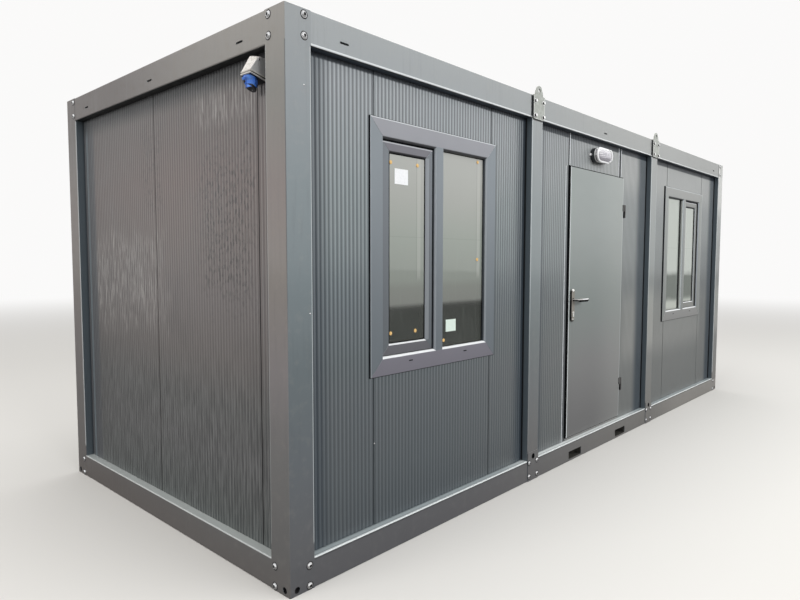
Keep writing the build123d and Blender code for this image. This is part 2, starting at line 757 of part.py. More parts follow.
# Lamp: a shallow oval base and a domed glass with a rim
with BuildPart() as lamp_base:
    with BuildSketch(front_plane(-wall_outer_y)) as lamp_plan:
        with Locations((lamp_x, lamp_z)):
            SlotOverall(lamp_wide, lamp_high)
    extrude(amount=lamp_base_deep)
    fillet(lamp_base.faces().sort_by(Axis.Y)[0].edges(), 5)
lamp_base.part.label = "lamp_base"
export_step(lamp_base.part, "parts/lamp_base.step")

with BuildPart() as lamp_glass:
    with BuildSketch(front_plane(-wall_outer_y - lamp_base_deep)) as lamp_glass_plan:
        with Locations((lamp_x, lamp_z)):
            SlotOverall(lamp_wide - 2 * lamp_rim, lamp_high - 2 * lamp_rim)
    extrude(amount=lamp_glass_deep, taper=8)
    fillet(lamp_glass.faces().sort_by(Axis.Y)[0].edges(), 22)
lamp_glass.part.label = "lamp_glass"
export_step(lamp_glass.part, "parts/lamp_glass.step")

# Power inlet: a sloping hood and a round socket under it
with BuildPart() as inlet_hood:
    with BuildSketch(Plane.XZ.offset(-inlet_y - inlet_wide / 2)) as hood_side:
        with BuildLine():
            Polyline(
                (-wall_outer_x, inlet_bottom),
                (-wall_outer_x, inlet_top),
                (-wall_outer_x - inlet_top_deep, inlet_top),
                (-wall_outer_x - inlet_deep, inlet_bottom + 14),
                (-wall_outer_x - inlet_deep, inlet_bottom + 4),
                close=True,
            )
        make_face()
    extrude(amount=inlet_wide)
    fillet(inlet_hood.edges().filter_by(Axis.Y).group_by(Axis.Z)[-1].sort_by(Axis.X)[0], 10)
inlet_hood.part.label = "inlet_hood"
export_step(inlet_hood.part, "parts/inlet_hood.step")

socket_plane = Plane(
    origin=(-wall_outer_x - socket_reach, inlet_y, inlet_bottom + 3),
    x_dir=(0, 1, 0),
    z_dir=Vector(0, 0, -1).rotate(Axis.Y, -socket_tilt),
)
with BuildPart() as inlet_socket:
    with BuildSketch(socket_plane) as socket_plan:
        Circle(socket_radius)
    extrude(amount=socket_long)
    with BuildSketch(Plane.XZ.offset(-inlet_y - inlet_wide / 2)) as hood_cut:
        with BuildLine():
            Polyline(
                (-wall_outer_x, inlet_bottom),
                (-wall_outer_x, inlet_top),
                (-wall_outer_x - inlet_deep - 40, inlet_top),
                (-wall_outer_x - inlet_deep - 40, inlet_bottom + 4 * (inlet_deep + 40) / inlet_deep),
                close=True,
            )
        make_face()
    extrude(amount=inlet_wide, mode=Mode.SUBTRACT)
inlet_socket.part.label = "inlet_socket"
export_step(inlet_socket.part, "parts/inlet_socket.step")
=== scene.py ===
import math

import bmesh
import bpy
from mathutils import Matrix, Vector


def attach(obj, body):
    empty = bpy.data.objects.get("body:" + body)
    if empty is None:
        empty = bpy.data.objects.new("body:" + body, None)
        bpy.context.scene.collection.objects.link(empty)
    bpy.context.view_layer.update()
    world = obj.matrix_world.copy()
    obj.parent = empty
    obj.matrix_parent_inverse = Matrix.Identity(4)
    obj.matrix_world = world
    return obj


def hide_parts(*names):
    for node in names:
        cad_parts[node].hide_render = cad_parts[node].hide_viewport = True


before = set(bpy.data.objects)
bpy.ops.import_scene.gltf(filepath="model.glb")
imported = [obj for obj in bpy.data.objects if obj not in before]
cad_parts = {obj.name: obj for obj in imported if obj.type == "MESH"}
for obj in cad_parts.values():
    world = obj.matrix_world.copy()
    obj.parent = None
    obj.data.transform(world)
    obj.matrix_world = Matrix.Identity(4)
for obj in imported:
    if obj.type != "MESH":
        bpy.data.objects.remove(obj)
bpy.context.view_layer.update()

# Sizes of the cabin in metres. The door side faces -Y and the power inlet end faces -X.
HALF_LONG = 3.0275
HALF_WIDE = 1.2075
HIGH = 2.54
POST = 0.14
LEDGE = 0.14
SOFFIT = 2.395
WALL_FRONT = 1.1575
WALL_END = 2.9775
MID_POST = 1.007
MID_HALF = 0.065
CORNER_X = HALF_LONG - POST
CORNER_Y = HALF_WIDE - POST

# Windows, measured outwards from the middle of the cabin
COVER_NEAR = 1.41975
COVER_FAR = 2.48975
LIGHT_NEAR = 1.51475
LIGHT_FAR = 2.39475
MULLION_NEAR = 1.91675
MULLION_FAR = 1.99275
COVER_LOW = 0.893
COVER_HIGH = 2.177
LIGHT_LOW = 0.988
LIGHT_HIGH = 2.082
COVER_FACE = -1.1635
SASH_FACE = -1.1455
PANE_FACE = -1.1115
PANE_BACK = -1.1075
OUTER_PANE = -1.1360
WINDOW_BACK = -1.0935
FRAME_MEMBER = 0.095
SASH_MEMBER = 0.062
BEAD_DEEP = 0.013
PANE_THICK = 0.004

# Door
LEAF_LEFT = -0.4675
LEAF_RIGHT = 0.4475
LEAF_LOW = 0.162
LEAF_HIGH = 2.155
LEAF_FACE = -1.1695
SKIN_BACK = -1.163
CORE_LEFT = -0.4425
CORE_RIGHT = 0.4225
CORE_LOW = 0.170
CORE_HIGH = 2.130
CORE_BACK = -1.1235
LOCK_X = -0.4225
LEVER_Z = 1.192
LEVER_LOW = 1.1865
HINGE_X = 0.475
HINGE_Y = -1.1705
HINGE_LEVELS = (0.432, 1.885)

# Wall ribs
RIB_PITCH = 0.0253
RIB_BASE = 0.0180
RIB_CREST = 0.0100
RIB_HIGH = 0.0017
RIB_SUNK = 0.0006
RIB_LOW = LEDGE + 0.002
RIB_TOP = SOFFIT - 0.001
FRONT_JOINTS = (1.46175, 2.46475)
DOOR_JOINTS = (-0.4815, 0.3915)
BACK_JOINTS = (-0.535, 0.535)
END_JOINTS = (-0.939, 0.064)


def shade(red, green, blue):
    """A colour from a paint chart, 0 to 255, in linear light."""

    def linear(part):
        part = part / 255
        return part / 12.92 if part <= 0.04045 else ((part + 0.055) / 1.055) ** 2.4

    return (linear(red), linear(green), linear(blue), 1.0)


class Value:
    """A number that changes over a surface. Arithmetic on it adds Math nodes."""

    def __init__(self, graph, socket):
        self.graph = graph
        self.socket = socket

    def math(self, operation, first, second=0.0):
        made = self.graph.node("ShaderNodeMath", {"operation": operation}, {0: first, 1: second})
        return Value(self.graph, made.outputs[0])

    def __add__(self, other):
        return self.math("ADD", self, other)

    def __radd__(self, other):
        return self.math("ADD", other, self)

    def __sub__(self, other):
        return self.math("SUBTRACT", self, other)

    def __rsub__(self, other):
        return self.math("SUBTRACT", other, self)

    def __mul__(self, other):
        return self.math("MULTIPLY", self, other)

    def __rmul__(self, other):
        return self.math("MULTIPLY", other, self)

    def __abs__(self):
        return self.math("ABSOLUTE", self)

    def most(self, other):
        return self.math("MAXIMUM", self, other)


class Graph:
    """A node tree that is filled one node at a time."""

    def __init__(self, tree):
        self.tree = tree

    def node(self, kind, settings=(), feeds=()):
        """Add a node: its type, its settings, then the values or links of its sockets."""
        made = self.tree.nodes.new(kind)
        for key, value in dict(settings).items():
            setattr(made, key, value)
        for key, value in dict(feeds).items():
            if isinstance(value, Value):
                value = value.socket
            if isinstance(value, bpy.types.NodeSocket):
                self.tree.links.new(value, made.inputs[key])
            else:
                made.inputs[key].default_value = value
        return made


def rise(value, low, high):
    """0 below low, 1 above high, and a smooth climb between them."""
    made = value.graph.node(
        "ShaderNodeMapRange",
        {"interpolation_type": "SMOOTHSTEP"},
        {"Value": value, "From Min": low, "From Max": high},
    )
    return Value(value.graph, made.outputs["Result"])


def fall(value, low, high):
    """1 below low and 0 above high."""
    return 1 - rise(value, low, high)


def near(value, middle, full, none):
    """1 where a value is within full of a middle, 0 where it is further off than none."""
    return fall(abs(value - middle), full, none)


def between(value, low_start, low_end, high_start, high_end):
    """1 from low_end to high_start, 0 outside low_start and high_end."""
    return rise(value, low_start, low_end) * fall(value, high_start, high_end)


class Finish(Graph):
    """A procedural finish that reads where a point lies on the cabin and which way it faces."""

    def __init__(self, name):
        self.material = bpy.data.materials.new(name)
        self.material.use_nodes = True
        self.material.node_tree.nodes.clear()
        super().__init__(self.material.node_tree)
        known = self.node("ShaderNodeTexCoord")
        self.spot = known.outputs["Object"]
        self.place = self.x, self.y, self.z = self.split(self.spot)
        self.facing = self.face_x, self.face_y, self.face_z = self.split(known.outputs["Normal"])
        self.colour = None

    def split(self, vector):
        made = self.node("ShaderNodeSeparateXYZ", (), {0: vector})
        return [Value(self, socket) for socket in made.outputs]

    def moved(self, place, scale):
        """Object coordinates, shifted and scaled for a pattern."""
        feeds = {"Vector": self.spot, "Location": place, "Scale": scale}
        return self.node("ShaderNodeMapping", (), feeds).outputs[0]

    def cloud(self, size, stretch=(1, 1, 1), seed=0.0, detail=2.0, rough=0.5):
        """Soft marks about size metres across, longer where stretch is above 1."""
        scale = tuple(1 / (size * part) for part in stretch)
        feeds = {"Vector": self.moved((seed, 1.7 * seed, 2.3 * seed), scale), "Scale": 1.0}
        made = self.node("ShaderNodeTexNoise", (), {**feeds, "Detail": detail, "Roughness": rough})
        return Value(self, made.outputs["Fac"])

    def drops(self, size, seed=0.0):
        """Small round spots, 1 at their middles."""
        feeds = {"Vector": self.moved((seed,) * 3, (1 / size,) * 3), "Scale": 1.0}
        made = self.node("ShaderNodeTexVoronoi", (), feeds)
        return fall(Value(self, made.outputs["Distance"]), 0.12, 0.30)

    def tint(self, amount, under, over):
        """One colour over another, by amount."""
        made = self.node("ShaderNodeMix", {"data_type": "RGBA"}, {0: amount, 6: under, 7: over})
        return made.outputs[2]

    def lay(self, amount, *paint):
        """Lay a colour from the paint chart over the finish, by amount."""
        self.colour = self.tint(amount, self.colour, shade(*paint))

    def levels(self, stops):
        """Colours at heights above the ground in metres, blended in between."""
        made = self.node("ShaderNodeValToRGB", (), {0: self.z * (1 / HIGH)})
        marks = made.color_ramp.elements
        for height, colour in stops[1:-1]:
            marks.new(height / HIGH)
        for mark, (height, colour) in zip(marks, stops):
            mark.position = height / HIGH
            mark.color = shade(*colour)
        return made.outputs[0]

    def patch(self, first, second, middle, reach, ragged):
        """1 in a patch with ragged edges round a middle, from two of x, y and z."""
        across = abs(first - middle[0]) * (1 / reach[0])
        along = abs(second - middle[1]) * (1 / reach[1])
        return fall(across.most(along) + ragged * 0.9, 0.9, 1.5)

    def cover(self, roughness, bump=None, depth=0.0005, **more):
        """Close the finish with a Principled shader. Keyword names use _ for a space."""
        feeds = {"Base Color": self.colour, "Roughness": roughness}
        for key, value in more.items():
            feeds[key.replace("_", " ")] = value
        if bump is not None:
            raised = self.node("ShaderNodeBump", (), {"Distance": depth, "Height": bump})
            feeds["Normal"] = raised.outputs[0]
        shader = self.node("ShaderNodeBsdfPrincipled", (), feeds)
        self.node("ShaderNodeOutputMaterial", (), {"Surface": shader.outputs[0]})
        return self.material


# Finishes: colours at heights above the ground. These levels are painted light: each paint is lighter
# high up and darker low down, with its own levels on each side, for the sky and ground that it mirrors.

FRAME_LONG = (
    (0.0, (80, 83, 88)), (0.2, (88, 88, 90)), (0.6, (90, 95, 99)), (1.0, (94, 103, 106)),
    (1.4, (114, 124, 127)), (1.8, (121, 131, 134)), (2.2, (135, 141, 144)), (2.52, (145, 149, 150)),
)
FRAME_SHORT = (
    (0.0, (92, 92, 92)), (0.2, (94, 94, 94)), (0.6, (103, 103, 103)), (1.0, (120, 116, 117)),
    (1.4, (129, 124, 120)), (1.8, (124, 115, 112)), (2.2, (121, 120, 115)), (2.52, (140, 137, 132)),
)
WALL_LONG = (
    (0.1, (60, 67, 72)), (0.4, (73, 80, 84)), (0.8, (78, 84, 88)), (1.0, (76, 85, 88)),
    (1.2, (83, 92, 97)), (1.5, (100, 111, 114)), (1.8, (112, 123, 125)), (2.3, (138, 143, 147)),
)
WALL_SHORT = (
    (0.1, (72, 78, 76)), (0.5, (88, 88, 88)), (0.75, (90, 90, 89)), (1.0, (106, 101, 99)),
    (1.3, (117, 111, 110)), (1.6, (116, 107, 104)), (1.9, (116, 104, 101)), (2.3, (104, 97, 95)),
)
DOOR_FACE = (
    (0.1, (96, 96, 96)), (0.3, (101, 101, 101)), (0.7, (113, 113, 113)), (1.1, (117, 123, 121)),
    (1.5, (129, 135, 133)), (1.9, (140, 146, 144)), (2.2, (143, 149, 147)),
)


def square_on(part):
    """1 on faces that look along one axis, from that part of their facing."""
    return rise(abs(part), 0.8, 0.95)


def edges_of(finish):
    """1 on a rounded bend or a bevel, 0 on a face that is square to the cabin."""
    square = abs(finish.face_x).most(abs(finish.face_y)).most(abs(finish.face_z))
    return fall(square, 0.80, 0.975)


def frame_paint():
    """Anthracite satin paint on the folded steel, grimy at the foot, painted lighter towards the top and
    darker towards the foot for the sky and ground it mirrors, with painted shade in its recesses and
    under its rails and painted highlights on its bends, lips and ledges.
    """
    coat = Finish("frame_paint")
    x, y, z = coat.place
    face_x, face_y, face_z = coat.facing
    # Painted light: each side has its own height levels for the sky and ground that the paint mirrors.
    long_side = coat.levels(FRAME_LONG)
    short_side = coat.levels(FRAME_SHORT)
    # Painted shade on the ends, growing towards +Y and strongest on their top rails.
    far_end = rise(y, -0.9, 0.9)
    high = rise(z, 1.9, 2.35)
    far_shade = far_end * 0.50 * (1 - high) + high * rise(y, -1.2, 0.5)
    short_side = coat.tint(far_shade, short_side, shade(92, 87, 85))
    # Painted sheen: the long sides grow lighter towards +X.
    long_side = coat.tint(rise(x, -2.2, 0.8) * 0.36, long_side, shade(142, 140, 131))
    on_end = rise(abs(x), 3.012, 3.026) * rise(abs(face_x), 0.35, 0.8)
    # Painted shade on the long faces of the -X corner posts.
    long_side = coat.tint(fall(x, -2.889, -2.886) * 0.16, long_side, shade(74, 82, 88))
    coat.colour = coat.tint(on_end, long_side, short_side)
    blotch = coat.cloud(0.3, detail=4.0)
    run = coat.cloud(0.02, stretch=(1, 1, 16), seed=3.1, detail=3.0)
    damp = rise(run * 0.6 + blotch * 0.4, 0.50, 0.66)
    coat.lay(damp * 0.09, 58, 62, 66)
    dust = rise(coat.cloud(0.05, seed=7.7, detail=4.0), 0.50, 0.75)
    coat.lay(dust * 0.07, 168, 160, 150)
    foot = fall(z + dust * 0.06, 0.03, 0.22)
    coat.lay(foot * 0.22, 96, 86, 80)
    on_long = rise(abs(y), 1.095, 1.11) * fall(abs(x), 3.012, 3.02)
    side = rise(abs(face_x), 0.85, 0.97) * on_long
    in_end = rise(abs(x), 2.925, 2.935) * fall(abs(y), 1.19, 1.2)
    end_side = rise(abs(face_y), 0.85, 0.97) * in_end
    shaded_underside = rise(-1 * face_z, 0.85, 0.97)
    # Painted shade on the side faces of the posts, in the recesses between posts and walls.
    coat.lay(side.most(end_side) * 0.95, 84, 94, 101)
    # Painted shade, near black, in the creases where the post sides meet the walls, and on every face
    # that looks down.
    seam = side * fall(abs(y), WALL_FRONT + 0.007, WALL_FRONT + 0.012)
    end_post_crease_shade = end_side * fall(abs(x), WALL_END + 0.007, WALL_END + 0.012)
    end_post_crease_shade = end_post_crease_shade * (1 - rise(y, 0.0, 0.5) * 0.7)
    coat.lay(seam.most(end_post_crease_shade).most(shaded_underside) * 0.96, 12, 13, 15)
    # A lighter, blue painted shade on the undersides of the long top rails.
    under_top = shaded_underside * rise(z, 2.3, 2.35) * fall(abs(y), 1.193, 1.197) * on_long
    coat.lay(under_top * 0.8, 72, 82, 94)
    # Painted reflection on the top of the bottom rails: pale, palest before the doorway, with painted
    # shade along the back and in a line near the front, and a painted highlight on the front edge.
    top_face = rise(face_z, 0.75, 0.95)
    ledge = coat.tint(rise(abs(x), 2.976, 2.978), shade(164, 173, 175), shade(178, 183, 181))
    doorway = between(x, -1.4, -0.9, 0.4, 1.0)
    ledge = coat.tint(doorway * 0.85, ledge, shade(242, 246, 244))
    groove = fall(abs(x), 2.97, 2.975) * top_face
    rim = groove * rise(abs(y), 1.1940, 1.1955)
    back = groove * fall(abs(y), 1.1640, 1.1680)
    groove = groove * near(abs(y), 1.1905, 0.0018, 0.0030)
    ledge = coat.tint((groove * 0.55).most(back * 0.5), ledge, shade(78, 84, 86))
    ledge = coat.tint(rim * 0.55, ledge, shade(240, 243, 242))
    plates = fall(abs(y), HALF_WIDE + 0.0003, HALF_WIDE + 0.0007)
    coat.colour = coat.tint(top_face * rise(z, 0.10, 0.13) * plates, coat.colour, ledge)
    # Painted highlight along the front lip of the bottom rails, fainter on the ends.
    lip_height = between(z, 0.1345, 0.1385, 0.1415, 0.143)
    lip = rise(abs(y), 1.198, 1.2035) * lip_height
    end_lip = rise(abs(x), 3.018, 3.0235) * lip_height
    posts = rise(abs(x), CORNER_X, CORNER_X + 0.001)
    end_posts = rise(abs(y), CORNER_Y, CORNER_Y + 0.001)
    mid_posts = near(abs(x), MID_POST, MID_HALF, MID_HALF + 0.001)
    lip = (lip * (1 - posts) * (1 - mid_posts)).most(end_lip * (1 - end_posts) * 0.55)
    coat.lay(lip * 0.9, 224, 229, 228)
    front_face = square_on(face_y) * rise(abs(y), 1.2, 1.205)
    # Painted shade in a line just under that lip.
    under_lip = near(z, 0.1308, 0.0026, 0.0040) * (1 - posts) * (1 - mid_posts)
    coat.lay(under_lip * front_face * 0.6, 44, 46, 48)
    # Painted highlight along the lower front edge of the long top rails.
    edge = between(z, SOFFIT - 0.001, SOFFIT + 0.001, SOFFIT + 0.0085, SOFFIT + 0.0105)
    edge = edge * rise(abs(y), 1.2, 1.204) * (1 - posts) * (1 - shaded_underside)
    coat.lay(edge * 0.8, 232, 235, 236)
    # Painted shadow under the lifting brackets.
    under_bracket = mid_posts * front_face * between(z, 2.3800, 2.3815, 2.394, 2.396)
    coat.lay(under_bracket * 0.9, 14, 15, 17)
    # A dark joint at the +X end of the front's long top rail, with a painted highlight beside it on the
    # corner post.
    far_joint = front_face * rise(z, SOFFIT + 0.004, SOFFIT + 0.006) * fall(y, 0.0, 0.5)
    dark_joint = near(x, CORNER_X - 0.008, 0.012, 0.016) * far_joint
    joint_highlight = near(x, CORNER_X + 0.020, 0.010, 0.014) * far_joint
    coat.lay(dark_joint * 0.9, 20, 21, 23)
    coat.lay(joint_highlight * 0.8, 240, 242, 240)
    end_joint = near(y, CORNER_Y + 0.004, 0.0045, 0.0070) * on_end
    end_joint = end_joint * rise(z, SOFFIT + 0.002, SOFFIT + 0.006)
    coat.lay(end_joint * 0.7, 34, 32, 33)
    # Painted reflection: a pale band near 0.95 m on the long sides beyond X 0.9.
    belt = near(z, 0.95, 0.16, 0.36) * rise(x, 0.90, 0.92) * front_face
    coat.lay(belt * 0.20, 216, 214, 206)
    # Painted sheen on the upper part of the +X corner posts' long faces, then a darker band around 1.45
    # m.
    far_post = posts * front_face * rise(x, 0.0, 1.0)
    coat.lay(far_post * rise(z, 1.9, 2.15) * 0.34, 238, 238, 232)
    dull = far_post * near(z, 1.45, 0.20, 0.38)
    coat.lay(dull * 0.26, 88, 84, 82)
    # Painted sheen on the bottom rails' faces towards +X, and painted shade towards -X.
    low_rail = front_face * fall(z, 0.126, 0.130)
    coat.lay(low_rail * rise(x, 0.9, 1.9) * 0.20, 190, 184, 176)
    coat.lay(low_rail * fall(x, -2.2, 0.6) * 0.12, 58, 64, 70)
    # Painted shade on the +X part of the long top rails.
    top_right = front_face * rise(z, SOFFIT, SOFFIT + 0.01) * rise(x, 1.2, 2.3)
    coat.lay(top_right * 0.20, 96, 96, 90)
    # Painted highlights along the bends and edges of the posts, fainter low on the middle posts, and
    # painted shade on the outer corner bends.
    outer = rise(abs(x), 3.016, 3.02) * rise(abs(y), 1.196, 1.2)
    square = abs(face_x).most(abs(face_y))
    fold = fall(square, 0.80, 0.975) * fall(abs(face_z), 0.02, 0.1)
    post_length = between(z, 0.20, 0.22, SOFFIT - 0.01, SOFFIT)
    fold = fold * post_length
    inner = abs(abs(abs(x) - MID_POST) - MID_HALF)
    inner = fall(inner, 0.0065, 0.0085).most(near(abs(x), CORNER_X, 0.0065, 0.0085))
    inner = inner * square_on(face_y) * rise(abs(y), 1.2, 1.203)
    end_inner = fall(abs(y) - CORNER_Y, 0.0065, 0.0085) * square_on(face_x)
    end_inner = end_inner * on_end * rise(abs(y), CORNER_Y - 0.001, CORNER_Y)
    inner = inner * rise(abs(x), 0.9, 0.93) * (posts + 1 - rise(abs(x), 1.1, 1.2))
    edge_highlight = inner.most(end_inner * 0.6) * post_length
    edge_highlight = edge_highlight.most(fold * (1 - outer) * 1.4)
    edge_highlight = edge_highlight * (1 - fall(z, 0.5, 1.9) * (1 - posts) * 0.85)
    coat.lay(edge_highlight * 0.5, 206, 212, 213)
    coat.lay(fold * outer * rise(z, 0.9, 1.6) * 0.65, 66, 72, 77)
    grain = coat.cloud(0.0016, detail=1.0, seed=1.3)
    drops = coat.drops(0.014) * rise(blotch, 0.42, 0.6)
    rough = 0.40 - damp * 0.08 + dust * 0.10
    dry = (far_end * on_end * 0.9).most(rise(x, 0.0, 2.8) * 0.30)
    wet = (0.65 - dust * 0.3) * (1 - shaded_underside.most(seam).most(end_post_crease_shade).most(dry))
    return coat.cover(
        rough, bump=grain * 0.10 + drops * 0.45 + blotch * 0.8, depth=0.0006,
        Coat_Weight=wet, Coat_Roughness=0.12,
    )


def panel_coat(name, crest):
    """Coil-coated panel sheet: dark outside, pale inside, with damp runs and water marks, painted lighter
    towards the top for the sky it mirrors, with painted shade by the posts, in the creases and under the
    top rails, and painted highlights on rib crests and in streaks.
    """
    coat = Finish(name)
    x, y, z = coat.place
    face_x, face_y = coat.facing[:2]
    on_end = rise(abs(x), 2.93, 2.94)
    on_long = 1 - on_end
    in_front = fall(y, 0.0, 0.5)
    outside = rise(abs(y), 1.115, 1.125).most(on_end)
    # Painted light: each side has its own height levels for the sky and ground that the sheet mirrors.
    coat.colour = coat.tint(on_end, coat.levels(WALL_LONG), coat.levels(WALL_SHORT))
    # Painted sheen growing towards +X on the long walls.
    far = rise(x, -2.2, 0.8) * 0.42 * on_long
    coat.lay(far, 142, 141, 134)
    # Painted sheen high up from the middle towards +X, and a painted reflection: a pale band near 0.9 m
    # between X 0.5 and 2.5.
    pale_top = rise(x, -0.6, 0.6) * rise(z, 1.95, 2.2) * 0.26
    belt = near(z, 0.9, 0.15, 0.40) * rise(x, 0.4, 0.6)
    belt = belt * fall(x, 2.45, 2.6) * 0.16
    coat.lay(pale_top.most(belt) * on_long, 216, 215, 207)
    # A darker band around 1.4 m beyond X 2.5 on the long walls.
    dull = near(z, 1.4, 0.15, 0.35) * rise(x, 2.48, 2.56)
    coat.lay(dull * on_long * 0.30, 62, 68, 76)
    # Painted shade on the ends, growing towards +Y.
    coat.lay(rise(y, -0.3, 1.2) * on_end * 0.35, 70, 68, 67)
    blotch = coat.cloud(0.5, seed=5.0, detail=4.0)
    ragged = coat.cloud(0.12, stretch=(1, 1, 2), seed=7.0, detail=4.0)
    run = coat.cloud(0.016, stretch=(1, 1, 9), seed=2.2, detail=3.0, rough=0.6)
    fine = coat.cloud(0.007, stretch=(1, 1, 16), seed=9.2, detail=2.0)
    mark = rise(coat.cloud(0.015, stretch=(1, 1, 2.2), seed=4.4, detail=3.0, rough=0.6), 0.50, 0.60)
    splash = coat.patch(y, z, (-0.66, 1.66), (0.30, 0.52), ragged)
    splash = splash.most(coat.patch(y, z, (0.10, 2.0), (0.16, 0.3), ragged) * 0.6)
    coat.lay(mark * splash * on_end * 0.62, 54, 51, 51)
    # Painted highlights in streaks on the ribs of the ends, in two patches.
    bright = coat.patch(y, z, (0.56, 1.36), (0.70, 0.34), ragged)
    bright = bright.most(coat.patch(y, z, (-0.66, 2.24), (0.34, 0.12), ragged))
    streak = rise(fine * 0.7 + run * 0.3, 0.50, 0.58)
    coat.lay(streak * bright * on_end * 0.38, 206, 203, 198)
    low = fall(z + blotch * 0.5, 0.9, 1.35)
    coat.lay(rise(run, 0.50, 0.60) * low * on_end * 0.34, 48, 49, 51)
    coat.lay(rise(run, 0.52, 0.40) * low * on_end * 0.12, 160, 162, 164)
    damp = rise(run * 0.5 + blotch * 0.5, 0.46, 0.60)
    coat.lay(damp * (0.06 + on_end * 0.10), 60, 62, 64)
    # Painted shade beside the posts, where their dark sides are mirrored in the sheet: wider to the left
    # of the +X middle and corner posts on the front, and wider by the +Y corner posts on the ends.
    mid_gap = abs(abs(x) - MID_POST) - MID_HALF
    post_gap = CORNER_X - abs(x)
    end_gap = CORNER_Y - abs(y)
    by_post = fall(mid_gap, 0.040, 0.150).most(fall(post_gap, 0.045, 0.160))
    by_end_post = fall(end_gap - rise(y, 0.0, 0.5) * 0.11, 0.030, 0.075)
    wide = fall(MID_POST - MID_HALF - x, 0.100, 0.230) * fall(x, 0.945, 0.95)
    wide = wide.most(fall(CORNER_X - x, 0.090, 0.200))
    wide = wide * rise(x, 0.4, 0.6) * on_long * in_front
    by_post = by_post.most(wide)
    grime_and_shade = coat.tint(on_end, shade(48, 57, 65), shade(72, 74, 78))
    coat.colour = coat.tint((by_post * on_long).most(by_end_post * on_end) * 0.94, coat.colour, grime_and_shade)
    far_strip = near(y, 1.014, 0.010, 0.015) * on_end
    coat.lay(far_strip * 0.65, 112, 124, 130)
    # Painted shade, near black, in the creases along the posts, laid with the dark panel joints.
    crease_shade_and_joints = fall(mid_gap, 0.003, 0.008).most(fall(post_gap, 0.003, 0.008))
    end_wall_crease_shade = fall(end_gap, 0.003, 0.008) * (1 - rise(y, 0.0, 0.5) * 0.7)
    crease_shade_and_joints = (crease_shade_and_joints * on_long).most(end_wall_crease_shade * on_end)
    joint = near(y, END_JOINTS[0], 0.0022, 0.0050) * rise(y, -0.96, -0.95)
    joint = joint.most(near(y, END_JOINTS[1], 0.0016, 0.0040))
    crease_shade_and_joints = crease_shade_and_joints.most(joint * on_end * 0.92)
    # Painted shadow under the top rails, on the ends and on the long walls.
    upper = rise(z, 2.256, 2.356) * on_end
    under_rail = rise(z + rise(x, -1.1, -0.9) * 0.018, 2.368, 2.377) * on_long
    over_door = near(x, DOOR_JOINTS[0] - 0.0020, 0.0060, 0.0075)
    over_door = over_door.most(near(x, DOOR_JOINTS[1], 0.0165, 0.0190)) * on_long
    crease_shade_and_joints = crease_shade_and_joints.most(over_door * in_front)
    beside_door = near(x, DOOR_JOINTS[0] - 0.0245, 0.0065, 0.0085) * on_long
    beside_door = beside_door * fall(z, LEAF_HIGH, LEAF_HIGH + 0.004)
    coat.lay(beside_door * in_front * 0.8, 30, 34, 44)
    coat.lay(crease_shade_and_joints.most(upper * 0.9), 14, 16, 19)
    coat.lay(under_rail * 0.92, 34, 40, 48)
    # Painted light on the ribs: lighter crests with painted shade on their steep flanks, and painted
    # shade in the troughs.
    upward = rise(z, 0.3, 2.3)
    steep = fall(abs(face_x).most(abs(face_y)), 0.96, 0.995)
    if crest:
        light = (0.05 + upward * 0.13 * (1 - on_end * 0.7)) * (1 - under_rail)
        coat.lay(light, 208, 214, 216)
        coat.lay(steep * 0.30, 40, 46, 50)
    else:
        deep = (0.26 + upward * 0.26) * (1 - on_end * 0.55)
        coat.lay(deep, 40, 46, 51)
    indoor = coat.tint(coat.cloud(0.5, seed=8.0), shade(205, 205, 200), shade(214, 214, 209))
    coat.colour = coat.tint(outside, indoor, coat.colour)
    grain = coat.cloud(0.0018, detail=1.0, seed=6.1)
    drops = coat.drops(0.011, seed=3.0) * rise(blotch, 0.40, 0.58)
    rough = 0.42 - damp * 0.10 + (1 - outside) * 0.15 + wide * 0.6
    dry = crease_shade_and_joints.most(upper).most(under_rail).most(by_post * 0.8).most(rise(y, -0.4, 0.9) * on_end * 0.7)
    wet = (0.55 + damp * 0.3) * outside * (1 - dry)
    return coat.cover(
        rough, bump=grain * 0.10 + drops * 0.4 + run * 0.7 + mark * splash * 0.5,
        depth=0.0006, Coat_Weight=wet, Coat_Roughness=0.14,
    )


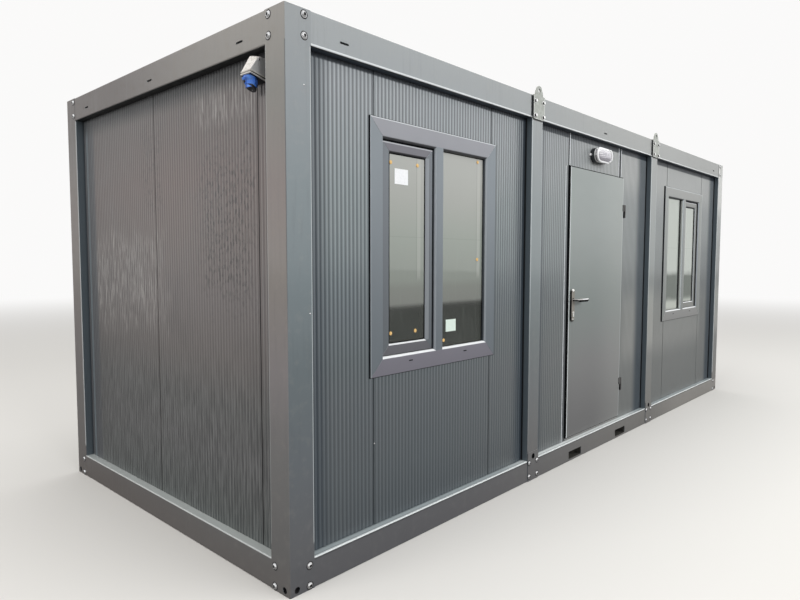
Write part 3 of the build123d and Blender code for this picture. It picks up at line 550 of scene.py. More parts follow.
def window_foil(name, low, high):
    """Foiled window profile with a faint woven emboss, painted lighter towards the top; its sills and
    beads carry painted highlights, and it has painted shade under it and on its side faces.
    """
    coat = Finish(name)
    x, y, z = coat.place
    face_x, face_y, face_z = coat.facing
    # Painted light: lighter towards the top.
    coat.colour = coat.tint(rise(z, 0.9, 2.15), low, high)
    weave = coat.cloud(0.003, stretch=(1, 1, 4), seed=2.0, detail=2.0)
    coat.lay(coat.cloud(0.12, stretch=(1, 1, 3), detail=3.0) * 0.12, 84, 88, 94)
    # Painted highlight on faces that look up; painted shade on faces that look down and on side faces,
    # near black on the covers' outer sides and on the right window's side faces.
    sill = rise(face_z, 0.25, 0.6)
    coat.lay(sill * 0.92, 232, 234, 234)
    soffit = rise(-1 * face_z, 0.25, 0.6)
    coat.lay(soffit * 0.85, 26, 27, 30)
    inward = square_on(face_x)
    coat.lay(inward * 0.80, 52, 57, 64)
    outer_side = fall(abs(x), COVER_NEAR + 0.0005, COVER_NEAR + 0.0010)
    outer_side = outer_side.most(rise(abs(x), COVER_FAR - 0.0010, COVER_FAR - 0.0005))
    coat.lay(inward * outer_side.most(rise(x, 0.5, 1.0)), 10, 11, 13)
    # Painted highlight on the bevels.
    slope = edges_of(coat) * (1 - sill) * (1 - soffit)
    coat.lay(slope * 0.30, 190, 194, 200)
    # Painted sheen: the right window's front faces are paler and greyer; painted highlights along the top
    # and outer edges of the covers.
    front = square_on(face_y)
    right_cover_sheen = coat.tint(rise(z, 0.9, 2.15), shade(138, 139, 133), shade(152, 153, 146))
    coat.colour = coat.tint(rise(x, 0.5, 1.0) * front * 0.6, coat.colour, right_cover_sheen)
    crown = rise(z, COVER_HIGH - 0.0050, COVER_HIGH - 0.0035) * 0.8
    flank = rise(abs(x), COVER_FAR - 0.0045, COVER_FAR - 0.0030) * 0.35
    coat.lay(crown.most(flank) * front, 222, 226, 230)
    # Painted highlights on the glazing beads, the sash crest and the mullion lip, a lighter strip on the
    # inner half of the sash, and painted shade in a groove line.
    within = between(z, LIGHT_LOW, LIGHT_LOW + 0.01, LIGHT_HIGH - 0.01, LIGHT_HIGH)
    bead = near(abs(x), LIGHT_FAR - SASH_MEMBER + 0.0030, 0.0022, 0.0034)
    beaded = rise(z, LIGHT_LOW + SASH_MEMBER - 0.006, LIGHT_LOW + SASH_MEMBER - 0.004)
    beaded = beaded * fall(z, LIGHT_HIGH - SASH_MEMBER + 0.004, LIGHT_HIGH - SASH_MEMBER + 0.006)
    bead = bead * beaded * rise(y, -1.152, -1.148)
    in_sash = rise(abs(x), MULLION_FAR + 0.008, MULLION_FAR + 0.009)
    in_sash = in_sash * fall(abs(x), LIGHT_FAR - 0.004, LIGHT_FAR - 0.003) * front
    crest = near(z, LIGHT_HIGH - 0.0125, 0.0026, 0.0036) * in_sash
    coat.lay(crest * 0.6, 206, 209, 212)
    inner_half = rise(abs(x), MULLION_FAR + 0.031, MULLION_FAR + 0.032) * in_sash * beaded
    inner_half = inner_half * fall(abs(x), MULLION_FAR + 0.070, MULLION_FAR + 0.075)
    coat.lay(inner_half * 0.30, 168, 172, 176)
    groove = near(abs(x), MULLION_FAR + 0.0300, 0.0010, 0.0020) * in_sash * beaded
    coat.lay(groove * 0.7, 34, 36, 40)
    lip = near(abs(x), MULLION_NEAR + 0.0022, 0.0022, 0.0034)
    coat.lay(bead.most(lip * within) * 0.55, 226, 232, 226)
    indoors = rise(y, -1.108, -1.104)
    coat.lay(indoors, 196, 197, 194)
    # Painted shade in a dark strip along the +X edge of the right window's opening light.
    deep = rise(x, LIGHT_FAR - 0.026, LIGHT_FAR - 0.024) * front
    deep = deep * rise(y, -1.152, -1.148) * fall(x, LIGHT_FAR, LIGHT_FAR + 0.001)
    coat.lay(deep * 0.92, 12, 13, 15)
    rough = 0.42 - sill * 0.22 + weave * 0.10 + deep * 0.5
    return coat.cover(rough, bump=weave, depth=0.00025)


def door_paint():
    """Smooth powder coat on the steel leaf, painted lighter towards the top and towards +X, with painted
    highlights along its folded edges and painted shade, near black, on the skin's sides.
    """
    coat = Finish("door_paint")
    x, y = coat.place[:2]
    face_x, face_y = coat.facing[:2]
    # Painted light: lighter towards the top.
    coat.colour = coat.levels(DOOR_FACE)
    blotch = coat.cloud(0.35, stretch=(2, 1, 1), seed=4.0, detail=4.0)
    coat.lay(rise(blotch, 0.42, 0.70) * 0.14, 112, 122, 116)
    # Painted sheen towards +X.
    coat.lay(rise(x, -0.1, 0.45) * 0.16, 176, 177, 172)
    # Painted highlights along the leaf's folded edges, and painted shade, near black, on the skin's side
    # faces.
    left_edge = fall(x, LEAF_LEFT + 0.0065, LEAF_LEFT + 0.0085)
    right_edge = rise(x, LEAF_RIGHT - 0.012, LEAF_RIGHT - 0.006) * 0.35
    skin = fall(y, SKIN_BACK - 0.0005, SKIN_BACK)
    coat.lay(left_edge.most(right_edge) * skin * 0.85, 216, 221, 221)
    side = square_on(face_x)
    coat.lay(side * skin, 12, 13, 15)
    inside = rise(face_y, 0.6, 0.9)
    coat.lay(inside, 206, 207, 203)
    peel = coat.cloud(0.004, detail=1.0, seed=2.0)
    return coat.cover(
        0.38 + blotch * 0.08, bump=peel * 0.4 + blotch, depth=0.0004,
        Coat_Weight=0.25 * (1 - side), Coat_Roughness=0.18,
    )


def metal(name, base, worn, rough, brushed=0.0, seed=0.0, metallic=1.0):
    """Bare or plated metal with fine scratches and slightly duller patches."""
    coat = Finish(name)
    patch = coat.cloud(0.02, seed=seed, detail=3.0)
    coat.colour = coat.tint(rise(patch, 0.4, 0.7), base, worn)
    scratch = coat.cloud(0.0012, stretch=(1, 1, 10), seed=seed + 1, detail=2.0)
    return coat.cover(
        rough + patch * 0.12 + scratch * brushed, bump=scratch, depth=0.0001, Metallic=metallic
    )


def plastic(name, base, shadow, rough, size=0.01, seed=0.0, bump_depth=0.0002, **more):
    """Moulded plastic or rubber with a fine skin and a little dirt."""
    coat = Finish(name)
    dirt = rise(coat.cloud(size * 3, seed=seed, detail=3.0), 0.45, 0.75)
    coat.colour = coat.tint(dirt * 0.35, base, shadow)
    skin = coat.cloud(size * 0.15, seed=seed + 2, detail=1.0)
    return coat.cover(rough + dirt * 0.15, bump=skin, depth=bump_depth, **more)


def pane_glass():
    """Outer window glass: a pale sheen of sky on its upper part, clearer and darker low down."""
    coat = Finish("window_pane")
    x, z = coat.x, coat.z
    ripple = coat.cloud(0.25, stretch=(1, 1, 2), seed=3.0, detail=3.0)
    coat.colour = coat.levels((
        (0.0, (70, 73, 69)), (1.19, (72, 75, 71)), (1.225, (80, 82, 79)), (1.25, (130, 132, 127)),
        (1.33, (134, 137, 131)), (1.37, (142, 147, 140)), (1.60, (154, 160, 152)),
        (1.80, (168, 170, 164)), (2.05, (180, 181, 176)),
    ))
    # Painted reflections on the right window: pale over the light, a darker band near 1.2 m and paler
    # again below 1.1 m.
    grazed = rise(x, 0.5, 1.0)
    coat.lay(grazed * rise(z, 0.985, 1.02) * 0.92, 182, 188, 180)
    middle = fall(abs(z - 1.22) + ripple * 0.06, 0.12, 0.20)
    coat.lay(grazed * middle * 0.7, 92, 98, 93)
    coat.lay(grazed * fall(z, 1.05, 1.10) * 0.5, 214, 216, 206)
    streak = rise(coat.cloud(0.012, stretch=(1, 1, 14), seed=2.0, detail=3.0), 0.55, 0.7)
    coat.lay(streak * 0.14, 128, 134, 126)
    # Painted reflections: pale upright strips with dark lines beside them above 1.37 m, and a faint line
    # across at 1.6 m.
    strip = near(abs(x), 1.556, 0.014, 0.018) * 0.16
    strip = strip.most(near(abs(x), 2.100, 0.012, 0.016) * 0.14)
    line = near(abs(x), 1.575, 0.0012, 0.0030) * 0.25
    line = line.most(near(abs(x), 2.118, 0.0012, 0.0030) * 0.25)
    coat.lay(strip * rise(z, 1.36, 1.40), 214, 214, 206)
    coat.lay(line * rise(z, 1.36, 1.40), 96, 98, 96)
    cross = near(z, 1.600, 0.0015, 0.0035) * 0.14
    coat.lay(cross, 116, 120, 114)
    mirrored = near(x, MULLION_NEAR - 0.0205, 0.0200, 0.0225)
    mirrored = mirrored.most(near(x, LIGHT_FAR - SASH_MEMBER - 0.0150, 0.0150, 0.0175))
    coat.lay(mirrored * grazed * 0.96, 12, 13, 15)
    bead = coat.drops(0.016, seed=5.0) * rise(coat.cloud(0.09, seed=8.0, detail=3.0), 0.50, 0.62)
    bead = bead * fall(z, 1.20, 1.35)
    coat.lay(bead * 0.30, 150, 154, 150)
    high = rise(z + ripple * 0.02, 1.22, 1.26).most(grazed)
    alpha = 0.50 + high * 0.36 + streak * 0.05
    smear = coat.cloud(0.03, seed=5.0, detail=3.0)
    rough = 0.03 + rise(smear, 0.5, 0.8) * 0.05 + mirrored * grazed * 0.85
    return coat.cover(rough, bump=ripple + bead * 0.2, depth=0.0006, Alpha=alpha, IOR=1.5)


def inner_glass():
    """Inner pane of the double glazing: nearly clear, with a little dust."""
    coat = Finish("inner_window_pane")
    dust = coat.cloud(0.06, stretch=(1, 1, 3), seed=6.0, detail=4.0)
    coat.colour = coat.tint(rise(dust, 0.4, 0.7), shade(120, 128, 124), shade(150, 154, 150))
    return coat.cover(0.04 + dust * 0.05, bump=dust, depth=0.0002, Alpha=0.16 + dust * 0.08, IOR=1.5)


def clear_lens():
    """Clear moulded lamp lens, hazy, with painted light making its upward faces paler."""
    coat = Finish("lamp_lens")
    haze = coat.cloud(0.014, stretch=(2, 1, 1), seed=1.0, detail=3.0)
    upper = rise(coat.face_z, -0.6, 0.7)
    coat.colour = coat.tint(upper, shade(196, 192, 200), shade(232, 231, 232))
    coat.lay(rise(haze, 0.45, 0.62) * 0.5, 158, 155, 162)
    return coat.cover(
        0.06 + haze * 0.08, bump=haze, depth=0.001, Alpha=0.80 + upper * 0.14, IOR=1.5
    )


def roof_sheet():
    """Galvanised roof sheet, dull and water-stained between its ribs."""
    coat = Finish("roof_sheet")
    spangle = coat.cloud(0.03, detail=4.0, seed=3.0)
    stain = rise(coat.cloud(0.5, stretch=(1, 3, 1), seed=6.0, detail=4.0), 0.48, 0.7)
    coat.colour = coat.tint(rise(spangle, 0.35, 0.65), shade(150, 154, 156), shade(166, 169, 171))
    coat.lay(stain * 0.35, 112, 114, 112)
    indoors = fall(coat.z, 2.40, 2.41)
    coat.lay(indoors, 212, 212, 208)
    return coat.cover(0.45 + stain * 0.2, bump=spangle, depth=0.0003, Metallic=(1 - indoors) * 0.35)


def floor_deck():
    """Grey vinyl on the floor inside, bare steel sheet beneath."""
    coat = Finish("floor_deck")
    fleck = rise(coat.cloud(0.006, seed=1.0, detail=2.0), 0.5, 0.7)
    coat.colour = coat.tint(fleck, shade(112, 110, 106), shade(138, 136, 131))
    below = fall(coat.z, 0.145, 0.15)
    coat.lay(below, 84, 86, 88)
    scuff = coat.cloud(0.2, seed=2.0, detail=4.0)
    return coat.cover(0.42 + scuff * 0.2, bump=fleck, depth=0.0002)


def hood_plastic():
    """Weathered inlet hood: pale on its sloping front, scuffed on its sides, with painted grey shade on
    its sides and painted black shade underneath.
    """
    coat = Finish("inlet_housing")
    scuff = coat.cloud(0.012, seed=3.0, detail=4.0)
    coat.colour = coat.tint(rise(scuff, 0.42, 0.66), shade(230, 226, 222), shade(204, 200, 192))
    # Painted shade on the side faces.
    flank = rise(abs(coat.face_y), 0.55, 0.9)
    coat.lay(flank * 0.9, 182, 182, 182)
    coat.lay(flank * rise(scuff, 0.5, 0.6) * 0.3, 186, 184, 178)
    shaded_underside = rise(-1 * coat.face_z, 0.6, 0.9)
    coat.lay(shaded_underside, 8, 10, 16)
    return coat.cover(0.45 + scuff * 0.1, bump=scuff, depth=0.0006)


def socket_blue():
    """Glossy blue moulded plastic with dark dirt in its hollows, and a painted sheen on faces turned
    towards -X and -Y.
    """
    coat = Finish("inlet_socket_blue")
    grime_and_shade = rise(coat.cloud(0.016, seed=4.0, detail=3.0), 0.46, 0.58)
    coat.colour = coat.tint(grime_and_shade * 0.6, shade(64, 122, 226), shade(20, 40, 92))
    front_sheen = rise(coat.face_x * -0.6 + coat.face_y * -0.8, 0.70, 0.95)
    coat.lay(front_sheen * 0.35, 120, 176, 255)
    return coat.cover(0.26 + grime_and_shade * 0.2, bump=grime_and_shade, depth=0.0004, Coat_Weight=0.3)


def lever_polish():
    """Polished lever: bright above, with a painted highlight towards its tip, and the dark ground
    mirrored in its underside as a painted reflection.
    """
    coat = Finish("polished_lever")
    scratch = coat.cloud(0.0015, stretch=(6, 1, 1), seed=3.0, detail=2.0)
    under = rise(-1 * coat.face_z, -0.50, -0.10)
    towards_tip = rise(coat.x, LOCK_X + 0.045, LOCK_X + 0.075)
    bright = coat.tint(towards_tip, shade(196, 194, 190), shade(252, 252, 251))
    coat.colour = coat.tint(under, bright, shade(10, 10, 11))
    return coat.cover(
        0.2 + scratch * 0.1, bump=scratch, depth=0.0001, Metallic=0.3 - under * 0.3,
        Specular_IOR_Level=0.3,
    )


def bracket_bolt():
    """Bolts of the lifting brackets: rusty black on their sides, with painted highlights on their crowns.
    """
    coat = Finish("bracket_bolt")
    grit = coat.cloud(0.004, seed=9.0, detail=3.0)
    crown = rise(abs(coat.face_y), 0.50, 0.70)
    coat.colour = coat.tint(grit, shade(12, 12, 13), shade(30, 28, 27))
    coat.lay(crown * 0.95, 250, 250, 248)
    return coat.cover(0.45 - crown * 0.15 + grit * 0.1, bump=grit, depth=0.0002)


def hinge_zinc():
    """Hinge knuckles, black and dull, with a painted sheen on their fronts."""
    coat = Finish("hinge_steel")
    scratch = coat.cloud(0.003, stretch=(1, 1, 6), seed=6.0, detail=2.0)
    front = rise(-1 * coat.face_y, 0.60, 0.80)
    coat.colour = coat.tint(scratch, shade(16, 17, 19), shade(30, 31, 33))
    coat.lay(front * 0.5, 110, 108, 106)
    return coat.cover(0.6 + scratch * 0.1, bump=scratch, depth=0.0001)


def plate_satin():
    """Satin lock plate with painted shade, near black, on its sides and along its left and lower parts,
    and a painted highlight on its upper rim.
    """
    coat = Finish("satin_lock_plate")
    x, z = coat.x, coat.z
    brush = coat.cloud(0.002, stretch=(1, 1, 12), seed=5.0, detail=2.0)
    coat.colour = coat.tint(rise(brush, 0.4, 0.6), shade(138, 134, 126), shade(122, 118, 112))
    side = rise(abs(coat.face_x), 0.75, 0.95)
    shadow = fall(x, LOCK_X - 0.0220, LOCK_X - 0.0180)
    shadow = shadow.most(fall(z, 1.034, 1.042))
    coat.lay(side.most(shadow * 0.9), 10, 10, 11)
    upper_rim_highlight = rise(z, 1.251, 1.257) * rise(x, LOCK_X - 0.018, LOCK_X - 0.010)
    coat.lay(rise(coat.face_z, 0.35, 0.75).most(upper_rim_highlight), 236, 236, 232)
    return coat.cover(
        0.38 + brush * 0.1, bump=brush, depth=0.0001, Metallic=0.0, Specular_IOR_Level=0.15
    )


def bracket_paint():
    """Thick paint on the lifting brackets, with painted highlights along the edges of the plates and
    painted shade on their sides and undersides.
    """
    coat = Finish("bracket_paint")
    x, z = coat.x, coat.z
    face_x, face_y, face_z = coat.facing
    worn = coat.cloud(0.02, seed=7.0, detail=4.0)
    coat.colour = coat.tint(rise(worn, 0.4, 0.65), shade(152, 155, 148), shade(166, 169, 163))
    off_middle = abs(abs(x) - MID_POST)
    front = square_on(face_y)
    rim = rise(off_middle, 0.0625, 0.0650) * fall(z, 2.53, 2.535)
    rim = rim.most(fall(z, 2.3905, 2.3945))
    coat.lay(rim * front * 0.8, 226, 228, 224)
    side = square_on(face_x) * fall(z, 2.53, 2.535)
    shaded_underside = rise(-1 * face_z, 0.6, 0.9)
    coat.lay(side.most(shaded_underside) * 0.9, 30, 31, 33)
    scratch = coat.cloud(0.004, stretch=(1, 1, 4), seed=2.0, detail=3.0)
    return coat.cover(0.36 + worn * 0.15, bump=scratch + worn, depth=0.0003, Coat_Weight=0.3)


def paper(name, base, edge):
    """A blank sticker with a slightly uneven surface."""
    coat = Finish(name)
    fibre = coat.cloud(0.01, seed=1.0, detail=3.0)
    coat.colour = coat.tint(rise(fibre, 0.4, 0.8) * 0.5, base, edge)
    return coat.cover(0.55 + fibre * 0.1, bump=fibre, depth=0.0001)


FRAME_PAINT = frame_paint()
# Trough and crest are lit and shaded copies of one sheet, with painted shade in the troughs and painted
# light on the crests.
PANEL_TROUGH = panel_coat("panel_trough", False)
PANEL_CREST = panel_coat("panel_crest", True)
# Painted light: the across and upright members, of frame and sash alike, are lit and shaded copies of one
# foil in different tones.
FOIL_ACROSS = window_foil("window_foil_across", shade(106, 104, 112), shade(148, 149, 154))
FOIL_UPRIGHT = window_foil("window_foil_upright", shade(96, 103, 108), shade(130, 137, 142))
SASH_ACROSS = window_foil("sash_foil_across", shade(84, 84, 88), shade(116, 115, 121))
SASH_UPRIGHT = window_foil("sash_foil_upright", shade(86, 91, 95), shade(114, 119, 124))
# Black rubber; black pieces of it also stand for the shade in gaps.
GASKET = plastic("gasket_rubber", shade(12, 13, 15), shade(24, 25, 26), 0.8, Specular_IOR_Level=0.08)
SPACER = metal("pane_spacer", shade(150, 150, 140), shade(128, 128, 120), 0.35, seed=4.0, metallic=0.3)
PANE = pane_glass()
INNER_PANE = inner_glass()
DOOR_PAINT = door_paint()
ZINC = metal("zinc_bolt", shade(246, 247, 248), shade(212, 214, 216), 0.16, seed=2.0)
# Stands for shade: in the bolts' sockets, round their flanges, and behind the gaps in the top rails.
SOCKET_DARK = plastic("bolt_socket_dark", shade(22, 22, 24), shade(40, 38, 36), 0.6)
BOLT_BLACK = bracket_bolt()
# Stands for the shade inside the holes of the foot plates.
HOLE_BLACK = plastic(
    "hole_black", shade(5, 5, 6), shade(10, 10, 10), 0.95, seed=8.5, Specular_IOR_Level=0.05
)
POLISHED = metal(
    "polished_cylinder", shade(246, 246, 242), shade(224, 224, 220), 0.2,
    brushed=0.05, seed=3.0, metallic=0.2,
)
LEVER = lever_polish()
SATIN = plate_satin()
INSIDE_PLATE = metal(
    "satin_inside_plate", shade(158, 156, 150), shade(138, 136, 131), 0.38, seed=6.0, metallic=0.3
)
HINGE = hinge_zinc()
# Pale as a painted highlight on the lips by the door joints.
LIP = metal("panel_joint_lip", shade(206, 210, 212), shade(182, 186, 188), 0.4, seed=6.5, metallic=0.0)
LAMP_DARK = plastic("lamp_base_dark", shade(44, 48, 52), shade(62, 64, 66), 0.42, seed=1.0)
LAMP_WHITE = plastic("lamp_guard_white", shade(250, 250, 250), shade(228, 229, 228), 0.34, seed=2.0)
LENS = clear_lens()
INLET_HOOD = hood_plastic()
INLET_CREAM = plastic("inlet_housing_cream", shade(208, 205, 199), shade(158, 156, 152), 0.42, seed=3.0)
INLET_BLUE = socket_blue()
# The inlet's black ring; it also stands for the shade under the hood and beside the latch.
INLET_BLACK = plastic("inlet_ring_black", shade(22, 24, 30), shade(40, 42, 46), 0.45, seed=5.0)
INLET_PALE = metal(
    "inlet_inside_pale", shade(250, 248, 226), shade(222, 220, 200), 0.3, seed=6.0, metallic=0.85
)
BRACKET = bracket_paint()
# Dark for the shade inside the fork pockets; the floor joists share it.
POCKET = metal("pocket_steel", shade(48, 48, 46), shade(76, 73, 66), 0.7, seed=8.0, metallic=0.0)
ROOF = roof_sheet()
DECK = floor_deck()
STICKER_WHITE = paper("sticker_white", shade(238, 239, 240), shade(214, 215, 216))
STICKER_PALE = paper("sticker_pale", shade(214, 228, 218), shade(196, 210, 200))
CORK = paper("packing_cork", shade(226, 186, 120), shade(186, 142, 82))

CAD_FINISHES = (
    (FRAME_PAINT, ("corner_post", "mid_post", "bottom_rail", "top_rail", "door_frame")),
    (BRACKET, ("lifting_bracket",)),
    (PANEL_TROUGH, ("wall_",)),
    (POCKET, ("fork_pocket", "floor_joists")),
    (ROOF, ("roof_panel",)),
    (DECK, ("floor_panel",)),
    (INNER_PANE, ("window_left_glass", "window_right_glass")),
    (HINGE, ("door_hinges",)),
    (LEVER, ("door_lever",)),
    (LAMP_DARK, ("lamp_base",)),
)
for name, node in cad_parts.items():
    for finish, starts in CAD_FINISHES:
        if name.startswith(starts):
            for place in node.material_slots:
                place.material = finish


# Mesh work


def close(shell, ring, coat=0):
    """One face over a ring of points."""
    face = shell.faces.new(ring)
    face.material_index = coat
    face.smooth = True


def span(shell, first, second, coat=0):
    """Faces between two rings of points, or between a tip and a ring."""
    if len(first) == 1 or len(second) == 1:
        tip, ring = (first[0], second) if len(first) == 1 else (second[0], first)
        for step, point in enumerate(ring):
            close(shell, (tip, point, ring[(step + 1) % len(ring)]), coat)
        return
    for step, point in enumerate(first):
        after = (step + 1) % len(first)
        close(shell, (point, first[after], second[after], second[step]), coat)


def circle(shell, middle, across, other, radius, steps):
    """A ring of points round a middle."""
    ring = []
    for step in range(steps):
        turn = 2 * math.pi * step / steps
        ring.append(shell.verts.new(middle + (across * math.cos(turn) + other * math.sin(turn)) * radius))
    return ring


def prism(shell, outline, axis, start, end, coat=0):
    """A solid with one outline, drawn straight along an axis."""
    first, second, along = {"x": (1, 2, 0), "y": (0, 2, 1), "z": (0, 1, 2)}[axis]
    rings = []
    for reach in (start, end):
        ring = []
        for a, b in outline:
            spot = [0.0, 0.0, 0.0]
            spot[first], spot[second], spot[along] = a, b, reach
            ring.append(shell.verts.new(spot))
        rings.append(ring)
    span(shell, rings[0], rings[1], coat)
    close(shell, rings[0], coat)
    close(shell, rings[1], coat)


def block(shell, low, high, coat=0):
    """A square-edged solid between two corners."""
    outline = ((low[0], low[1]), (high[0], low[1]), (high[0], high[1]), (low[0], high[1]))
    prism(shell, outline, "z", low[2], high[2], coat)


def square_profile(start, end, back, front):
    """A square-edged profile for mitred members."""
    return ((start, back), (end, back), (end, front), (start, front))


def mitred(shell, outer, profile, upright=0, seam=0.0005):
    """Four members with mitred ends. The profile lists (distance in from outer edge, y)."""
    left, right, low, high = outer
    members = (
        ((left, low), (right, low), (1, 1), (-1, 1), (1, 0), 0),
        ((left, high), (right, high), (1, -1), (-1, -1), (1, 0), 0),
        ((left, low), (left, high), (1, 1), (1, -1), (0, 1), upright),
        ((right, low), (right, high), (-1, 1), (-1, -1), (0, 1), upright),
    )
    for start, end, start_in, end_in, along, coat in members:
        rings = []
        for corner, inward, push in ((start, start_in, seam), (end, end_in, -seam)):
            rings.append([
                shell.verts.new((
                    corner[0] + inward[0] * deep + along[0] * push,
                    y,
                    corner[1] + inward[1] * deep + along[1] * push,
                ))
                for deep, y in profile
            ])
        span(shell, rings[0], rings[1], coat)
        close(shell, rings[0], coat)
        close(shell, rings[1], coat)


def turned(shell, profile, centre, axis, steps=24, coat=0):
    """A shape turned about an axis. The profile lists (radius, distance along the axis)."""
    axis = Vector(axis).normalized()
    across = axis.orthogonal().normalized()
    other = axis.cross(across)
    centre = Vector(centre)
    rings = []
    for radius, along in profile:
        middle = centre + axis * along
        if radius > 0:
            rings.append(circle(shell, middle, across, other, radius, steps))
        else:
            rings.append([shell.verts.new(middle)])
    for first, second in zip(rings, rings[1:]):
        span(shell, first, second, coat)
    for ring in (rings[0], rings[-1]):
        if len(ring) > 1:
            close(shell, ring, coat)


def tube(shell, path, radius, closed=False, steps=10, coat=0):
    """A round bar along a path of points."""
    points = [Vector(point) for point in path]
    count = len(points)
    rings = []
    normal = None
    for index, point in enumerate(points):
        before = points[index - 1] if closed or index else point
        after = points[(index + 1) % count] if closed or index < count - 1 else point
        along = (after - before).normalized()
        normal = along.orthogonal() if normal is None else normal - along * normal.dot(along)
        normal.normalize()
        rings.append(circle(shell, point, normal, along.cross(normal), radius, steps))
    for first, second in zip(rings, rings[1:]):
        span(shell, first, second, coat)
    if closed:
        span(shell, rings[-1], rings[0], coat)
    else:
        close(shell, rings[0], coat)
        close(shell, rings[-1], coat)


def into_object(name, data):
    """An object in the scene that holds a mesh, a lamp or a camera."""
    made = bpy.data.objects.new(name, data)
    bpy.context.scene.collection.objects.link(made)
    return made


def seat(made, body, stands_for=()):
    """Let a piece ride on its body, and hide the CAD nodes that it stands for."""
    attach(made, body)
    if stands_for:
        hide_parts(*stands_for)


def mesh_of(name, shell):
    """The plain mesh of finished mesh work, with its faces turned outwards."""
    bmesh.ops.recalc_face_normals(shell, faces=shell.faces)
    mesh = bpy.data.meshes.new(name)
    shell.to_mesh(mesh)
    shell.free()
    return mesh


def piece(name, shell, coats, body, stands_for=(), soften=0.0, steps=2):
    """Turn mesh work into a finished piece that rides on its body."""
    mesh = mesh_of(name, shell)
    mesh.set_sharp_from_angle(angle=math.radians(32))
    for coat in coats:
        mesh.materials.append(coat)
    made = into_object(name, mesh)
    if soften:
        rounding = made.modifiers.new("rounded edges", "BEVEL")
        rounding.width = soften
        rounding.segments = steps
        rounding.limit_method = "ANGLE"
        rounding.angle_limit = math.radians(40)
        rounding.harden_normals = True
    seat(made, body, stands_for)


# Repeated pieces, set out with Geometry Nodes


class Layout(Graph):
    """A Geometry Nodes tree with named inputs, and the plain mesh that it makes."""

    def __init__(self, name, inputs):
        super().__init__(bpy.data.node_groups.new(name, "GeometryNodeTree"))
        self.sockets = {}
        for label, kind in {"Guides": "Geometry", **inputs}.items():
            self.sockets[label] = self.tree.interface.new_socket(
                label, in_out="INPUT", socket_type="NodeSocket" + kind
            )
        self.tree.interface.new_socket(
            "Pieces", in_out="OUTPUT", socket_type="NodeSocketGeometry"
        )
        self.given = self.node("NodeGroupInput").outputs

    def finish(self, geometry):
        plain = self.node("GeometryNodeRealizeInstances", (), {0: geometry})
        coated = self.node(
            "GeometryNodeSetMaterial",
            (),
            {"Geometry": plain.outputs[0], "Material": self.given["Finish"]},
        )
        self.node("NodeGroupOutput", (), {0: coated.outputs[0]})

    def make(self, name, guides, values, body, slot, bend):
        """Set the inputs, take the result as a plain mesh, and let it ride on its body."""
        holder = into_object(name + "_guides", guides)
        modifier = holder.modifiers.new(name, "NODES")
        modifier.node_group = self.tree
        for label, value in values.items():
            modifier[self.sockets[label].identifier] = value
        ready = holder.evaluated_get(bpy.context.evaluated_depsgraph_get())
        mesh = bpy.data.meshes.new_from_object(ready)
        mesh.name = name
        holder.modifiers.remove(modifier)
        bpy.data.objects.remove(holder)
        bpy.data.meshes.remove(guides)
        for face in mesh.polygons:
            face.use_smooth = True
        mesh.set_sharp_from_angle(angle=math.radians(bend))
        seat(into_object(name, mesh), body)


def rib_layout():
    """A trapezoid rib along every guide edge."""
    layout = Layout("panel_ribs", {
        "Base Width": "Float",
        "Crest Width": "Float",
        "Rib Height": "Float",
        "Facing": "Vector",
        "Finish": "Material",
    })
    given = layout.given
    lines = layout.node("GeometryNodeMeshToCurve", (), {0: given["Guides"]})
    across = layout.node(
        "ShaderNodeVectorMath", {"operation": "CROSS_PRODUCT"}, {0: given["Facing"], 1: (0, 0, 1)}
    )
    turned_lines = layout.node(
        "GeometryNodeSetCurveNormal",
        {"mode": "FREE"},
        {0: lines.outputs[0], "Normal": across.outputs[0]},
    )
    profile = layout.node(
        "GeometryNodeCurvePrimitiveQuadrilateral",
        {"mode": "TRAPEZOID"},
        {
            "Height": given["Rib Height"],
            "Bottom Width": given["Base Width"],
            "Top Width": given["Crest Width"],
            "Offset": 0.0,
        },
    )
    ribs = layout.node(
        "GeometryNodeCurveToMesh",
        (),
        {"Curve": turned_lines.outputs[0], "Profile Curve": profile.outputs[0], "Fill Caps": True},
    )
    layout.finish(ribs.outputs[0])
    return layout


def fastener_layout():
    """One fastener at every guide point, along the point's facing, each turned at random."""
    layout = Layout("set_out_fasteners", {
        "Fastener": "Object",
        "Head Width": "Float",
        "Turn Seed": "Int",
        "Finish": "Material",
    })
    given = layout.given
    facing = layout.node(
        "GeometryNodeInputNamedAttribute", {"data_type": "FLOAT_VECTOR"}, {"Name": "facing"}
    )
    aimed = layout.node(
        "FunctionNodeAlignRotationToVector", {"axis": "Z"}, {"Vector": facing.outputs["Attribute"]}
    )
    spin = layout.node(
        "FunctionNodeRandomValue",
        {"data_type": "FLOAT_VECTOR"},
        {"Min": (0, 0, 0), "Max": (0, 0, 2 * math.pi), "Seed": given["Turn Seed"]},
    )
    spun = layout.node(
        "FunctionNodeRotateRotation",
        {"rotation_space": "LOCAL"},
        {"Rotation": aimed.outputs[0], "Rotate By": spin.outputs[0]},
    )
    source = layout.node("GeometryNodeObjectInfo", (), {"Object": given["Fastener"]})
    placed = layout.node(
        "GeometryNodeInstanceOnPoints",
        (),
        {
            "Points": given["Guides"],
            "Instance": source.outputs["Geometry"],
            "Rotation": spun.outputs[0],
            "Scale": given["Head Width"],
        },
    )
    layout.finish(placed.outputs[0])
    return layout


RIBS = rib_layout()
FASTENERS = fastener_layout()


def guide_lines(lines):
    """A mesh of one edge for each (start, end)."""
    mesh = bpy.data.meshes.new("guides")
    points = [point for line in lines for point in line]
    mesh.from_pydata(points, [(2 * step, 2 * step + 1) for step in range(len(lines))], [])
    return mesh


